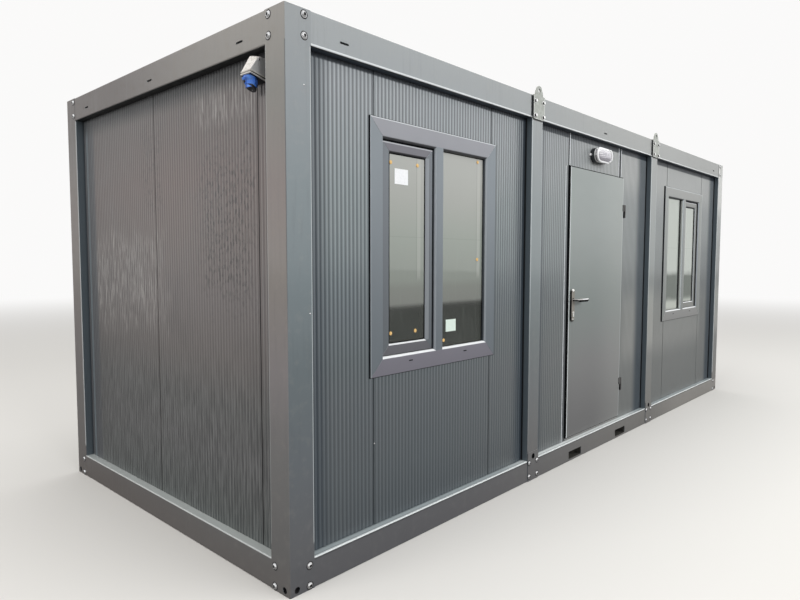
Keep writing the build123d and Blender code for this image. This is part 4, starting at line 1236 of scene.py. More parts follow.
def guide_points(spots):
    """A mesh of one point for each (place, facing)."""
    mesh = bpy.data.meshes.new("guides")
    mesh.from_pydata([place for place, facing in spots], [], [])
    facings = mesh.attributes.new("facing", "FLOAT_VECTOR", "POINT")
    facings.data.foreach_set("vector", [part for place, facing in spots for part in facing])
    return mesh


# Ribbed skin of the walls


def rib_places(start, end):
    """Middles of the ribs of one panel, evenly set between its two joints."""
    count = int((end - start - 0.008) / RIB_PITCH)
    first = (start + end - (count - 1) * RIB_PITCH) / 2
    return [first + step * RIB_PITCH for step in range(count)]


def split_run(low, high, blocks):
    """The stretches of a rib that are clear of windows, door and fittings."""
    runs = [(low, high)]
    for block_low, block_high in blocks:
        runs = [
            part
            for run in runs
            for part in ((run[0], min(run[1], block_low)), (max(run[0], block_high), run[1]))
            if part[1] - part[0] > 0.01
        ]
    return runs


def lay_ribs(name, lines, sizes, facing, finish):
    """Trapezoid ribs on lines. Sizes are the width at the base and the crest, and the height."""
    base, crest, high = sizes
    values = {
        "Base Width": base, "Crest Width": crest, "Rib Height": high, "Facing": facing, "Finish": finish,
    }
    RIBS.make(name, guide_lines(lines), values, "cabin", "wall_panel", bend=60)


def wall_ribs(name, joints, wall, along, outward, blocks):
    """Ribs over one wall. Blocks are (start, end, low, high) in the wall's own plane."""
    lines = []
    level = wall + (RIB_HIGH - RIB_SUNK) / 2
    for start, end in zip(joints, joints[1:]):
        for middle in rib_places(start, end):
            in_way = [
                block[2:]
                for block in blocks
                if block[0] - RIB_BASE / 2 < middle < block[1] + RIB_BASE / 2
            ]
            for low, high in split_run(RIB_LOW, RIB_TOP, in_way):
                ends = []
                for z in (low, high):
                    spot = Vector((0, 0, z))
                    spot[along] = middle
                    spot[1 - along] = outward * level
                    ends.append(spot)
                lines.append(ends)
    facing = [0.0, 0.0, 0.0]
    facing[1 - along] = outward
    lay_ribs(name, lines, (RIB_BASE, RIB_CREST, RIB_HIGH + RIB_SUNK), facing, PANEL_CREST)


front_blocks = [
    (post - MID_HALF - 0.006, post + MID_HALF + 0.006, 0.0, HIGH) for post in (-MID_POST, MID_POST)
]
front_blocks += [
    (-COVER_FAR - 0.001, -COVER_NEAR + 0.001, COVER_LOW - 0.002, COVER_HIGH + 0.002),
    (COVER_NEAR - 0.001, COVER_FAR + 0.001, COVER_LOW - 0.002, COVER_HIGH + 0.002),
    (LEAF_LEFT - 0.012, LEAF_RIGHT + 0.004, 0.0, LEAF_HIGH + 0.006),
]
near_joint, far_joint = FRONT_JOINTS
left_joints, right_joints = (-CORNER_X, -far_joint, -near_joint), (near_joint, far_joint, CORNER_X)
front_joints = (*left_joints, *DOOR_JOINTS, *right_joints)
back_joints = (*left_joints, *BACK_JOINTS, *right_joints)
end_joints = (-CORNER_Y, *END_JOINTS, CORNER_Y)
inlet_block = (-1.0155, -0.9325, 2.268, 2.385)
wall_ribs("front_wall_ribs", front_joints, WALL_FRONT, 0, -1, front_blocks)
wall_ribs("back_wall_ribs", back_joints, WALL_FRONT, 0, 1, front_blocks[:2])
wall_ribs("left_wall_ribs", end_joints, WALL_END, 1, -1, [inlet_block])
wall_ribs("right_wall_ribs", end_joints, WALL_END, 1, 1, [])

# Rounded lip on the right of every panel joint of the front wall, on both sides over the door; the lips
# by the door joints are pale as a painted highlight
lips = []
pale_lips = []
lip_y = -WALL_FRONT - 0.0006
for joint in (-far_joint, -near_joint, near_joint, far_joint):
    beside = [block[2:] for block in front_blocks[2:] if block[0] < joint + 0.005 < block[1]]
    x = joint + 0.0048
    for low, high in split_run(RIB_LOW, RIB_TOP, beside):
        lips.append(((x, lip_y, low), (x, lip_y, high)))
over_leaf = LEAF_HIGH + 0.006
for joint, across, low, high in (
    (0, 0.0115, over_leaf, RIB_TOP), (0, -0.0410, RIB_LOW, LEAF_HIGH),
    (1, -0.0240, over_leaf, RIB_TOP), (1, 0.0240, over_leaf, RIB_TOP),
):
    x = DOOR_JOINTS[joint] + across
    pale_lips.append(((x, lip_y, low), (x, lip_y, high)))
lay_ribs("front_joint_lips", lips, (0.0052, 0.0030, 0.0026), (0, -1, 0), PANEL_CREST)
lay_ribs("door_joint_lips", pale_lips, (0.0100, 0.0076, 0.0026), (0, -1, 0), LIP)

# Bolts


def fastener(name, *turnings):
    """A fastener of unit width for the layouts, from (sides, profile) turned about Z."""
    shell = bmesh.new()
    for sides, profile in turnings:
        turned(shell, profile, (0, 0, 0), (0, 0, 1), steps=sides)
    return into_object(name, mesh_of(name, shell))


# A flanged button head with a six-sided socket
button = fastener("button_head", (24, (
    (0.50, 0.0), (0.50, 0.035), (0.480, 0.050), (0.430, 0.058), (0.420, 0.095), (0.385, 0.170),
    (0.31, 0.230), (0.240, 0.250), (0.228, 0.244), (0.222, 0.09), (0.0, 0.09),
)))
# Painted shade: a dark floor in its socket, and a dark ring round the flange for its shadow
recess = fastener(
    "socket_floor",
    (6, ((0.226, 0.08), (0.226, 0.215), (0.0, 0.195))),
    (24, ((0.64, 0.0), (0.64, 0.016), (0.45, 0.022), (0.45, 0.0))),
)
# A six-sided head on its washer
hexagon = fastener(
    "hexagon_head",
    (24, ((0.50, 0.0), (0.50, 0.040), (0.480, 0.055), (0.30, 0.055))),
    (6, ((0.36, 0.050), (0.36, 0.390), (0.325, 0.425), (0.0, 0.430))),
)
# A low domed rivet
rivet = fastener("rivet", (14, ((0.5, 0.0), (0.5, 0.08), (0.42, 0.22), (0.24, 0.32), (0.0, 0.35))))

frame_bolts = []
bracket_bolts = []
for side in (-1, 1):
    for end in (-1, 1):
        for inset, z in ((0.110, 0.112), (0.110, 0.020), (0.103, 2.515), (0.103, 2.427)):
            frame_bolts.append(((end * (HALF_LONG - inset), side * HALF_WIDE, z), (0, side, 0)))
        for inset, z in ((0.110, 0.112), (0.110, 0.020), (0.112, 2.515), (0.112, 2.427)):
            frame_bolts.append(((end * HALF_LONG, side * (HALF_WIDE - inset), z), (end, 0, 0)))
        for across in (-0.049, 0.049):
            for z in (0.125, 0.033):
                spot = (end * MID_POST + across, side * (HALF_WIDE + 0.004), z)
                frame_bolts.append((spot, (0, side, 0)))
        for across in (-0.0500, 0.0500):
            for z in (2.503, 2.411):
                spot = (end * MID_POST + across, side * (HALF_WIDE + 0.010), z)
                bracket_bolts.append((spot, (0, side, 0)))
# Small rivets in the frame and in one panel
rivet_spots = [
    ((x, y, z), (0, -1, 0)) for x, y, z in (
        (-2.928, -HALF_WIDE, 2.222), (-2.905, -HALF_WIDE, 1.245),
        (-2.4608, -WALL_FRONT - 0.001, 0.558),
    )
]
for name, spots, wide, template, finish, seed, bend in (
    ("frame_bolt_heads", frame_bolts, 0.0305, button, ZINC, 7, 30),
    ("frame_bolt_sockets", frame_bolts, 0.0305, recess, SOCKET_DARK, 7, 30),
    ("bracket_bolt_heads", bracket_bolts, 0.0290, hexagon, BOLT_BLACK, 7, 30),
    ("frame_rivets", rivet_spots, 0.009, rivet, ZINC, 3, 32),
):
    values = {"Fastener": template, "Head Width": wide, "Turn Seed": seed, "Finish": finish}
    FASTENERS.make(name, guide_points(spots), values, "cabin", "hinge_steel", bend=bend)
for template in (button, recess, hexagon, rivet):
    bpy.data.objects.remove(template)

# Black discs in the holes of the middle posts' foot plates, standing for the shade inside the holes
HOLE_SHADE_DISC = (
    (0.0138, 0.0), (0.0138, 0.0039), (0.0180, 0.0039), (0.0180, 0.0046), (0.0120, 0.0050), (0.0, 0.0042),
)
shell = bmesh.new()
for end in (-1, 1):
    for side in (-1, 1):
        turned(shell, HOLE_SHADE_DISC, (end * MID_POST, side * (HALF_WIDE + 0.0001), 0.164), (0, side, 0), steps=28)
piece("foot_hole_caps", shell, (HOLE_BLACK,), "cabin")

# Ground-down welds where the rails meet the corner posts' rounded edges
shell = bmesh.new()
for end in (-1, 1):
    for side in (-1, 1):
        for low, high in ((0.001, LEDGE - 0.001), (SOFFIT + 0.001, HIGH - 0.001)):
            outline = [(end * (HALF_LONG - 0.00005), side * (CORNER_Y - 0.0002))]
            long_outline = [(end * (CORNER_X - 0.0002), side * (HALF_WIDE - 0.00005))]
            for step in range(9):
                turn = math.radians(90 * step / 8)
                out, along = 0.006 - 0.006 * math.cos(turn), 0.006 - 0.006 * math.sin(turn)
                outline.append((end * (HALF_LONG - out), side * (CORNER_Y + along)))
                long_outline.append((end * (CORNER_X + along), side * (HALF_WIDE - out)))
            prism(shell, outline, "z", low, high)
            prism(shell, long_outline, "z", low, high)
piece("corner_weld_fillets", shell, (FRAME_PAINT,), "cabin")

# Dark plates inside the top rails behind the gaps beside the lifting brackets, standing for the shade in
# those gaps
shell = bmesh.new()
for end in (-1, 1):
    for side in (-1, 1):
        for across in (-0.076, 0.076):
            middle = end * MID_POST + across
            y = sorted((side * 1.2060, side * 1.1800))
            block(shell, (middle - 0.0098, y[0], SOFFIT + 0.002), (middle + 0.0098, y[1], HIGH - 0.001))
piece("rail_gap_backing", shell, (SOCKET_DARK,), "cabin", soften=0.0006, steps=1)

# Windows

COVER_PROFILE = (
    (0.0, -WALL_FRONT), (0.0, COVER_FACE + 0.0012), (0.0012, COVER_FACE), (0.083, COVER_FACE),
    (0.0855, COVER_FACE + 0.0008), (0.094, COVER_FACE + 0.010), (FRAME_MEMBER, COVER_FACE + BEAD_DEEP),
    (FRAME_MEMBER, PANE_FACE), (0.035, PANE_FACE), (0.035, -WALL_FRONT),
)
SASH_PROFILE = (
    (0.003, PANE_FACE), (0.003, SASH_FACE + 0.0015), (0.0045, SASH_FACE), (0.050, SASH_FACE),
    (0.0525, SASH_FACE + 0.001), (0.061, SASH_FACE + 0.010), (SASH_MEMBER, SASH_FACE + BEAD_DEEP),
    (SASH_MEMBER, PANE_FACE),
)
SEAL_PROFILE = (
    (-0.001, OUTER_PANE), (-0.001, OUTER_PANE - 0.0035),
    (0.0028, OUTER_PANE - 0.0022), (0.0034, OUTER_PANE),
)


def window(side, word):
    """One two-light window: side -1 is the left one, +1 the right one."""

    def outline(start, end, low, high):
        return (*sorted((side * start, side * end)), low, high)

    cover = outline(COVER_NEAR, COVER_FAR, COVER_LOW, COVER_HIGH)
    sash_light = outline(MULLION_FAR, LIGHT_FAR, LIGHT_LOW, LIGHT_HIGH)
    fixed_light = outline(LIGHT_NEAR, MULLION_NEAR, LIGHT_LOW, LIGHT_HIGH)
    pane = tuple(edge + inward * SASH_MEMBER for edge, inward in zip(sash_light, (1, -1, 1, -1)))

    shell = bmesh.new()
    mitred(shell, cover, COVER_PROFILE, upright=1)
    mitred(shell, cover, square_profile(0.035, FRAME_MEMBER, PANE_FACE, WINDOW_BACK), upright=1, seam=0.0)
    left, right = sorted((side * MULLION_NEAR, side * MULLION_FAR))
    lip = 0.009
    section = (
        (left, PANE_FACE), (left, COVER_FACE + BEAD_DEEP), (left + 0.0012, COVER_FACE + 0.010),
        (left + lip, COVER_FACE + 0.0014), (left + lip + 0.002, COVER_FACE + 0.0006),
        (right - lip - 0.002, COVER_FACE + 0.0006), (right - lip, COVER_FACE + 0.0014),
        (right - 0.0012, COVER_FACE + 0.010), (right, COVER_FACE + BEAD_DEEP), (right, PANE_FACE),
    )
    prism(shell, section, "z", LIGHT_LOW - 0.010, LIGHT_HIGH + 0.010, coat=1)
    block(shell, (left, PANE_BACK, LIGHT_LOW), (right, WINDOW_BACK, LIGHT_HIGH), coat=1)
    piece(f"window_{word}_cover", shell, (FOIL_ACROSS, FOIL_UPRIGHT), "cabin",
          stands_for=(f"window_{word}_frame",))

    shell = bmesh.new()
    mitred(shell, sash_light, SASH_PROFILE, upright=1, seam=0.0004)
    room_side = square_profile(0.0, SASH_MEMBER, PANE_BACK, WINDOW_BACK + 0.002)
    mitred(shell, sash_light, room_side, upright=1, seam=0.0)
    piece(f"window_{word}_opening_light", shell, (SASH_ACROSS, SASH_UPRIGHT), "cabin",
          stands_for=(f"window_{word}_sash",))

    shell = bmesh.new()
    for low_x, high_x, low_z, high_z in (pane, fixed_light):
        low, high = (low_x + 0.0002, low_z + 0.0002), (high_x - 0.0002, high_z - 0.0002)
        block(shell, (low[0], OUTER_PANE, low[1]), (high[0], OUTER_PANE + PANE_THICK, high[1]))
    piece(f"window_{word}_outer_panes", shell, (PANE,), "cabin", soften=0.0004, steps=1)

    shell = bmesh.new()
    for light in (pane, fixed_light):
        mitred(shell, light, SEAL_PROFILE, seam=0.0)
    # Black strips at the sash head, by the mullion and along the left of the cover stand for the shade
    # there; the right window's strip is wider.
    first, last = MULLION_FAR + 0.0004, MULLION_FAR + 0.0078
    at_mullion = outline(first, last, LIGHT_LOW + 0.002, LIGHT_HIGH - 0.002)
    left, right = sash_light[0] + 0.0005, sash_light[1] - 0.0005
    at_head = (left, right, LIGHT_HIGH - 0.0090, LIGHT_HIGH - 0.0004)
    wide = 0.005 if side < 0 else 0.026
    at_left = (cover[0] - wide, cover[0] - 0.0002, COVER_LOW, COVER_HIGH)
    for (low_x, high_x, low_z, high_z), front, back in (
        (at_head, SASH_FACE - 0.0008, SASH_FACE + 0.006),
        (at_mullion, SASH_FACE - 0.0008, SASH_FACE + 0.006),
        (at_left, -WALL_FRONT - 0.0052, -WALL_FRONT + 0.001),
    ):
        block(shell, (low_x, front, low_z), (high_x, back, high_z))
    # Black in the gap round the opening light and round the cover's outer edge, for the shade there.
    gap = square_profile(-0.0001, 0.0034, PANE_FACE - 0.002, SASH_FACE + 0.004)
    mitred(shell, sash_light, gap, seam=0.0)
    rim = square_profile(-0.0022, 0.0004, -WALL_FRONT + 0.001, -WALL_FRONT - 0.0034)
    mitred(shell, cover, rim, seam=0.0)
    piece(f"window_{word}_gaskets", shell, (GASKET,), "cabin")

    shell = bmesh.new()
    for light in (pane, fixed_light):
        mitred(shell, light, square_profile(0.0005, 0.0105, OUTER_PANE + PANE_THICK, PANE_FACE), seam=0.0)
    piece(f"window_{word}_spacers", shell, (SPACER,), "cabin")

    shell = bmesh.new()
    for x in (side * 2.1915, side * 1.716):
        block(shell, (x - 0.015, COVER_FACE - 0.0003, 0.9465), (x + 0.015, COVER_FACE + 0.001, 0.9525))
    piece(f"window_{word}_drain_slots", shell, (GASKET,), "cabin", soften=0.0002)

    if side > 0:
        return
    shell = bmesh.new()
    pads = ((2.320, 1.975), (2.114, 1.980), (2.320, 1.101), (2.128, 1.100),
            (1.570, 2.060), (1.568, 1.483), (1.884, 1.024))
    for x, z in pads:
        turned(shell, ((0.010, 0.0), (0.010, 0.002), (0.008, 0.003), (0.0, 0.003)),
               (side * x, OUTER_PANE, z), (0, -1, 0), steps=16)
    piece(f"window_{word}_packing_pads", shell, (CORK,), "cabin")


window(-1, "left")
window(1, "right")

for name, coat, x, z, wide, high in (
    ("sticker_upper", STICKER_WHITE, -2.239, 1.909, 0.102, 0.079),
    ("sticker_lower", STICKER_PALE, -1.818, 1.105, 0.092, 0.069),
):
    shell = bmesh.new()
    top = (x + wide / 2, OUTER_PANE, z + high / 2)
    block(shell, (x - wide / 2, OUTER_PANE - 0.0006, z - high / 2), top)
    piece(name, shell, (coat,), "cabin", soften=0.0002, steps=1)

# Door leaf: a folded skin on a core, with a seal behind the skin's edge
shell = bmesh.new()
block(shell, (LEAF_LEFT, LEAF_FACE, LEAF_LOW), (LEAF_RIGHT, SKIN_BACK, LEAF_HIGH))
piece("door_skin", shell, (DOOR_PAINT,), "door",
      stands_for=("door_leaf",), soften=0.0026, steps=3)
shell = bmesh.new()
block(shell, (CORE_LEFT, SKIN_BACK, CORE_LOW), (CORE_RIGHT, CORE_BACK, CORE_HIGH))
piece("door_core", shell, (DOOR_PAINT,), "door", soften=0.0015)
shell = bmesh.new()
seal = (
    (0.004, SKIN_BACK), (0.016, SKIN_BACK),
    (0.015, SKIN_BACK + 0.0042), (0.010, SKIN_BACK + 0.0050), (0.005, SKIN_BACK + 0.0042),
)
mitred(shell, (LEAF_LEFT, LEAF_RIGHT, LEAF_LOW, LEAF_HIGH), seal, seam=0.0)
piece("door_seal", shell, (GASKET,), "door")

# Leaf halves of the hinges
KNUCKLE = (
    (0.0049, 0.0), (0.0074, 0.0), (0.008, 0.0008), (0.008, 0.0495), (0.0068, 0.0518), (0.0049, 0.0520),
)
shell = bmesh.new()
for level in HINGE_LEVELS:
    low, high = level + 0.0005, level + 0.0525
    turned(shell, KNUCKLE, (HINGE_X, HINGE_Y, low), (0, 0, 1), steps=20)
    block(shell, (LEAF_RIGHT - 0.010, LEAF_FACE - 0.004, low), (HINGE_X - 0.0055, LEAF_FACE, high))
    for height in (0.013, 0.039):
        turned(shell, ((0.0030, 0.0), (0.0028, 0.0008), (0.0, 0.0012)),
               (LEAF_RIGHT - 0.004, LEAF_FACE - 0.004, level + height), (0, -1, 0), steps=12)
piece("leaf_hinge_halves", shell, (HINGE,), "door", soften=0.0005, steps=1)

# Lock plate with its screws and key cylinder
PLATE_FACE = LEAF_FACE - 0.0120
ROOM_FACE = CORE_BACK + 0.0080
LEVER_FRONT = -1.2238
LEVER_BEND = 0.0140
LEVER_BAR = 0.0088


def rounded_bar(centre_x, low, high, half, steps=10):
    """Outline of an upright bar with half-round ends, as (x, z)."""
    points = []
    for middle, first in ((high - half, 0.0), (low + half, math.pi)):
        for step in range(steps + 1):
            turn = first + math.pi * step / steps
            points.append((centre_x + half * math.cos(turn), middle + half * math.sin(turn)))
    return points


def lock_fittings(shell, head, rim, face, outward):
    """Two screw heads and the key cylinder on a lock plate."""
    screw = ((head, 0.0), (head, 0.0014), (rim, 0.0026), (0.0, 0.0030))
    cylinder = ((0.0090, 0.0), (0.0090, 0.0060), (0.0080, 0.0072), (0.0, 0.0072))
    for z, profile, steps in ((1.252, screw, 16), (1.044, screw, 16), (1.093, cylinder, 24)):
        turned(shell, profile, (LOCK_X, face, z), (0, outward, 0), steps=steps)


shell = bmesh.new()
prism(shell, rounded_bar(LOCK_X, 1.030, 1.266, 0.0245), "y", LEAF_FACE - 0.0075, LEAF_FACE)
piece("lock_plate_shadow_gap", shell, (GASKET,), "door", soften=0.0010)
shell = bmesh.new()
prism(shell, rounded_bar(LOCK_X, 1.028, 1.268, 0.0260), "y", PLATE_FACE, LEAF_FACE - 0.0060)
piece("lock_plate", shell, (SATIN,), "door", soften=0.0022, steps=3)
shell = bmesh.new()
lock_fittings(shell, 0.0052, 0.0036, PLATE_FACE, -1)
block(shell, (LOCK_X - 0.0052, PLATE_FACE - 0.0066, 1.064), (LOCK_X + 0.0052, PLATE_FACE, 1.091))
piece("lock_cylinder_and_screws", shell, (POLISHED,), "door", soften=0.0004, steps=1)
shell = bmesh.new()
block(shell, (LOCK_X - 0.0011, PLATE_FACE - 0.0078, 1.087), (LOCK_X + 0.0011, PLATE_FACE - 0.0071, 1.098))
piece("key_slot", shell, (GASKET,), "door")

# Lever: a round bar bent out from the lower half of its rose, with a black bar under it as a painted
# reflection of the dark ground
shell = bmesh.new()
rose = ((0.0140, 0.0), (0.0140, 0.0045), (0.0125, 0.0060), (0.0, 0.0060))
turned(shell, rose, (LOCK_X, LEAF_FACE - 0.0060, LEVER_Z), (0, -1, 0), steps=28)
bar = [(LOCK_X, y, LEVER_LOW) for y in (LEAF_FACE - 0.0100, -1.1900, LEVER_FRONT + LEVER_BEND)]
for step in range(1, 7):
    turn = math.radians(15 * step)
    x, y = LEVER_BEND * (1 - math.cos(turn)), LEVER_BEND * (1 - math.sin(turn))
    bar.append((LOCK_X + x, LEVER_FRONT + y, LEVER_LOW))
for step in range(1, 9):
    share = step / 8
    bar.append((LOCK_X + LEVER_BEND + 0.1350 * share, LEVER_FRONT, LEVER_LOW - 0.0010 * share))
tube(shell, bar, LEVER_BAR, steps=18)
piece("lever_handle", shell, (LEVER,), "lever",
      stands_for=("door_lever",), soften=0.0022, steps=3)
shell = bmesh.new()
spots = []
for step in range(7):
    share = step / 6
    spots.append((LOCK_X + 0.018 + 0.122 * share, LEVER_FRONT, LEVER_LOW - 0.0078 - 0.0010 * share))
tube(shell, spots, 0.0070, steps=14)
piece("lever_grip", shell, (GASKET,), "lever")

# A narrower plate and the other half of the lever on the room side, clear of the door stop
shell = bmesh.new()
prism(shell, rounded_bar(LOCK_X, 1.028, 1.268, 0.0112), "y", CORE_BACK, ROOM_FACE)
piece("inside_lock_plate", shell, (INSIDE_PLATE,), "door", soften=0.0020)
shell = bmesh.new()
lock_fittings(shell, 0.0046, 0.0032, ROOM_FACE, 1)
piece("inside_cylinder_and_screws", shell, (POLISHED,), "door", soften=0.0004, steps=1)
shell = bmesh.new()
small_rose = ((0.0108, 0.0), (0.0108, 0.0045), (0.0096, 0.0060), (0.0, 0.0060))
turned(shell, small_rose, (LOCK_X, ROOM_FACE - 0.0020, LEVER_Z), (0, 1, 0), steps=28)
room_bar = [(x, ROOM_FACE + PLATE_FACE - y, z + LEVER_Z - LEVER_LOW) for x, y, z in bar]
tube(shell, room_bar, LEVER_BAR, steps=18)
piece("inside_lever_handle", shell, (LEVER,), "lever", soften=0.0022, steps=3)

# Black weather strip in the wall beside and over the leaf, with a black block beside the leaf's left edge
# for the shade in the gap there
shell = bmesh.new()
strip = (
    (-0.0068, -WALL_FRONT + 0.001), (-0.0068, -WALL_FRONT - 0.0045),
    (0.0030, -WALL_FRONT - 0.0052), (0.0030, -WALL_FRONT + 0.001),
)
mitred(shell, (LEAF_LEFT, LEAF_RIGHT, LEAF_LOW, LEAF_HIGH), strip, seam=0.0)
low = (LEAF_LEFT - 0.0110, -WALL_FRONT - 0.0060, LEAF_LOW)
block(shell, low, (LEAF_LEFT - 0.0060, -WALL_FRONT + 0.001, LEAF_HIGH + 0.008))
piece("door_weather_strip", shell, (GASKET,), "cabin")

# Lamp: white guard ring on arms over a ribbed lens

LAMP_X = -0.032
LAMP_Z = 2.278
RING_FACE = -1.2155
LENS_FOOT = -1.1905


def oval(half_wide, half_high, y, count=64):
    """Points round a slot-shaped oval."""
    straight = half_wide - half_high
    points = []
    for step in range(count):
        turn = 2 * math.pi * step / count
        shift = straight if math.cos(turn) >= 0 else -straight
        points.append((
            LAMP_X + shift + half_high * math.cos(turn), y, LAMP_Z + half_high * math.sin(turn)
        ))
    return points


shell = bmesh.new()
tube(shell, oval(0.113, 0.049, RING_FACE), 0.0076, closed=True)
tube(shell, oval(0.114, 0.050, -1.1925), 0.0030, closed=True)
for x, z in ((-0.112, 0), (0.112, 0), (-0.062, 0.049), (0.062, 0.049), (-0.062, -0.049), (0.062, -0.049)):
    tube(shell, [(LAMP_X + x, y, LAMP_Z + z) for y in (-1.188, -1.200, RING_FACE)], 0.0046)
arc = []
for step in range(17):
    turn = math.pi * step / 16
    bulge = 0.0335 * math.sin(turn) ** 0.6
    arc.append((LAMP_X + 0.070, RING_FACE - bulge, LAMP_Z - 0.049 * math.cos(turn)))
tube(shell, arc, 0.0040)
for x in (LAMP_X - 0.1275, LAMP_X + 0.1275):
    block(shell, (x - 0.0115, -1.1680, LAMP_Z - 0.008), (x + 0.0115, -1.1600, LAMP_Z + 0.008))
piece("lamp_guard", shell, (LAMP_WHITE,), "cabin")

shell = bmesh.new()
rings = [[shell.verts.new((LAMP_X, -1.2505, LAMP_Z))]]
for part in range(1, 15):
    share = part / 14
    scale = math.sin(share * math.pi / 2) ** 0.75
    bulge = 0.0590 * math.cos(share * math.pi / 2) ** 0.55
    ring = []
    for x, y, z in oval(0.105, 0.043, 0.0, 72):
        x = LAMP_X + (x - LAMP_X) * scale
        z = LAMP_Z + (z - LAMP_Z) * scale
        wave = 0.0018 * math.cos((z - LAMP_Z) / 0.0125 * 2 * math.pi)
        ring.append(shell.verts.new((x, LENS_FOOT - bulge - wave * scale, z)))
    rings.append(ring)
for first, second in zip(rings, rings[1:]):
    span(shell, first, second)
close(shell, rings[-1])
piece("lamp_ribbed_lens", shell, (LENS,), "cabin", stands_for=("lamp_glass",))

# Power inlet: a sloping hood with a double lip, and a tapered socket hanging under it
hood_left, hood_right = -1.0125, -0.9335
hood_front = -3.0640
lip_front = -3.0643
shell = bmesh.new()
hood = (
    (-WALL_END, 2.272), (-WALL_END, 2.3640), (-3.0140, 2.3660), (-3.0250, 2.3610), (-3.0320, 2.3500),
    (hood_front, 2.300), (hood_front, 2.2925),
)
prism(shell, hood, "y", hood_left, hood_right)
for corner in shell.verts:
    if corner.co.y > hood_right - 0.001 and corner.co.z > 2.34:
        corner.co.y -= 0.017
        corner.co.z += 0.013
    elif corner.co.z > 2.34:
        corner.co.z -= 0.005
    elif corner.co.y > hood_right - 0.001 and corner.co.x < -3.05:
        corner.co.y -= 0.008
piece("inlet_sloping_hood", shell, (INLET_HOOD,), "cabin",
      stands_for=("inlet_hood",), soften=0.0045, steps=4)
shell = bmesh.new()
for low_wall, low_front, proud in ((2.2600, 2.2845, 0.0020), (2.2735, 2.2945, 0.0012)):
    lip = (
        (-WALL_END, low_wall), (-WALL_END, low_wall + 0.0065),
        (lip_front - proud * 0.5, low_front + 0.0055), (lip_front - proud * 0.5, low_front),
    )
    prism(shell, lip, "y", hood_left - proud, hood_right + proud)
for corner in shell.verts:
    if corner.co.y > hood_right and corner.co.x < -3.05:
        corner.co.y -= 0.008
piece("inlet_hood_lips", shell, (INLET_CREAM,), "cabin", soften=0.0008)
# A black plate under the hood, standing for the shade under it.
shell = bmesh.new()
shadow_plate = ((-2.9780, 2.2590), (-2.9780, 2.2606), (-3.0600, 2.2846), (-3.0600, 2.2830))
prism(shell, shadow_plate, "y", hood_left + 0.003, hood_right - 0.001)
piece("inlet_hood_underside", shell, (INLET_BLACK,), "cabin", soften=0.0004, steps=1)
shell = bmesh.new()
for y, facing in ((hood_left, (0, -1, 0)), (hood_right, (0, 1, 0))):
    turned(shell, ((0.0038, 0.0), (0.0038, 0.0012), (0.0026, 0.0022), (0.0, 0.0026)),
           (-3.018, y, 2.348), facing, steps=16)
piece("inlet_screws", shell, (ZINC,), "cabin")

tilt = math.radians(7)
axis = Vector((math.sin(tilt), 0.0, -math.cos(tilt)))
sideways = Vector((0, 1, 0))
outward = axis.cross(sideways)
socket_base = Vector((-3.0345, -0.969, 2.2845))
shell = bmesh.new()
body_profile = (
    (0.0, 0.0), (0.0290, 0.0), (0.0300, 0.002), (0.0300, 0.013), (0.0288, 0.0155), (0.0282, 0.018),
    (0.0252, 0.041), (0.0258, 0.044), (0.0262, 0.050), (0.0232, 0.052), (0.0222, 0.038), (0.0, 0.038),
)
turned(shell, body_profile, socket_base, axis, steps=48, coat=0)
lid_axis = (axis + Vector((-0.78, 0.08, 0.0))).normalized()
lid_base = socket_base + axis * 0.0460
ring_profile = (
    (0.0215, 0.0010), (0.0255, 0.0), (0.0268, 0.0020),
    (0.0268, 0.0085), (0.0250, 0.0105), (0.0222, 0.0095),
)
turned(shell, ring_profile, lid_base, lid_axis, steps=48, coat=1)
turned(shell, ((0.0220, 0.0), (0.0220, 0.0080), (0.0, 0.0080)), lid_base, lid_axis, steps=32, coat=2)
across_lid = lid_axis.cross(sideways).normalized()
for step in range(3):
    turn = math.radians(90 + 120 * step)
    off = sideways * math.cos(turn) + across_lid * math.sin(turn)
    centre = lid_base + lid_axis * 0.0075 + off * 0.0125
    turned(shell, ((0.0024, 0.0), (0.0024, 0.003), (0.0, 0.0040)), centre, lid_axis, steps=12, coat=3)
piece("inlet_blue_socket", shell, (INLET_BLUE, INLET_BLACK, INLET_PALE, ZINC), "cabin",
      stands_for=("inlet_socket",))
shell = bmesh.new()
latch = socket_base + Vector((-0.0195, 0.0205, -0.0145))
turned(shell, ((0.0062, -0.010), (0.0070, -0.009), (0.0070, 0.009), (0.0062, 0.010)),
       latch, (0.73, 0.68, 0.0), steps=20)
for step in range(20):
    turn = 2 * math.pi * step / 20
    out = sideways * math.cos(turn) + outward * math.sin(turn)
    low = socket_base + axis * 0.021 + out * 0.0284
    high = socket_base + axis * 0.040 + out * 0.0260
    tube(shell, (low, (low + high) / 2 + out * 0.0003, high), 0.0010, steps=6)
piece("inlet_latch_and_grips", shell, (INLET_BLUE,), "cabin")
# A black ring beside the latch, standing for the shade in the gap there.
shell = bmesh.new()
turned(shell, ((0.0050, -0.009), (0.0056, -0.008), (0.0056, 0.008), (0.0050, 0.009)),
       socket_base + Vector((-0.0205, 0.0115, -0.0270)), (0.55, 0.80, -0.22), steps=16)
piece("inlet_latch_gap", shell, (INLET_BLACK,), "cabin")

# Floor, light and camera


def rays_of(graph):
    """1 for camera rays, 1 for mirrored rays, and 1 for every ray that ends in the picture."""
    rays = graph.node("ShaderNodeLightPath").outputs
    direct, mirrored, through = (
        Value(graph, rays[f"Is {kind} Ray"]) for kind in ("Camera", "Glossy", "Transmission")
    )
    return direct, mirrored, direct.most(mirrored).most(through)


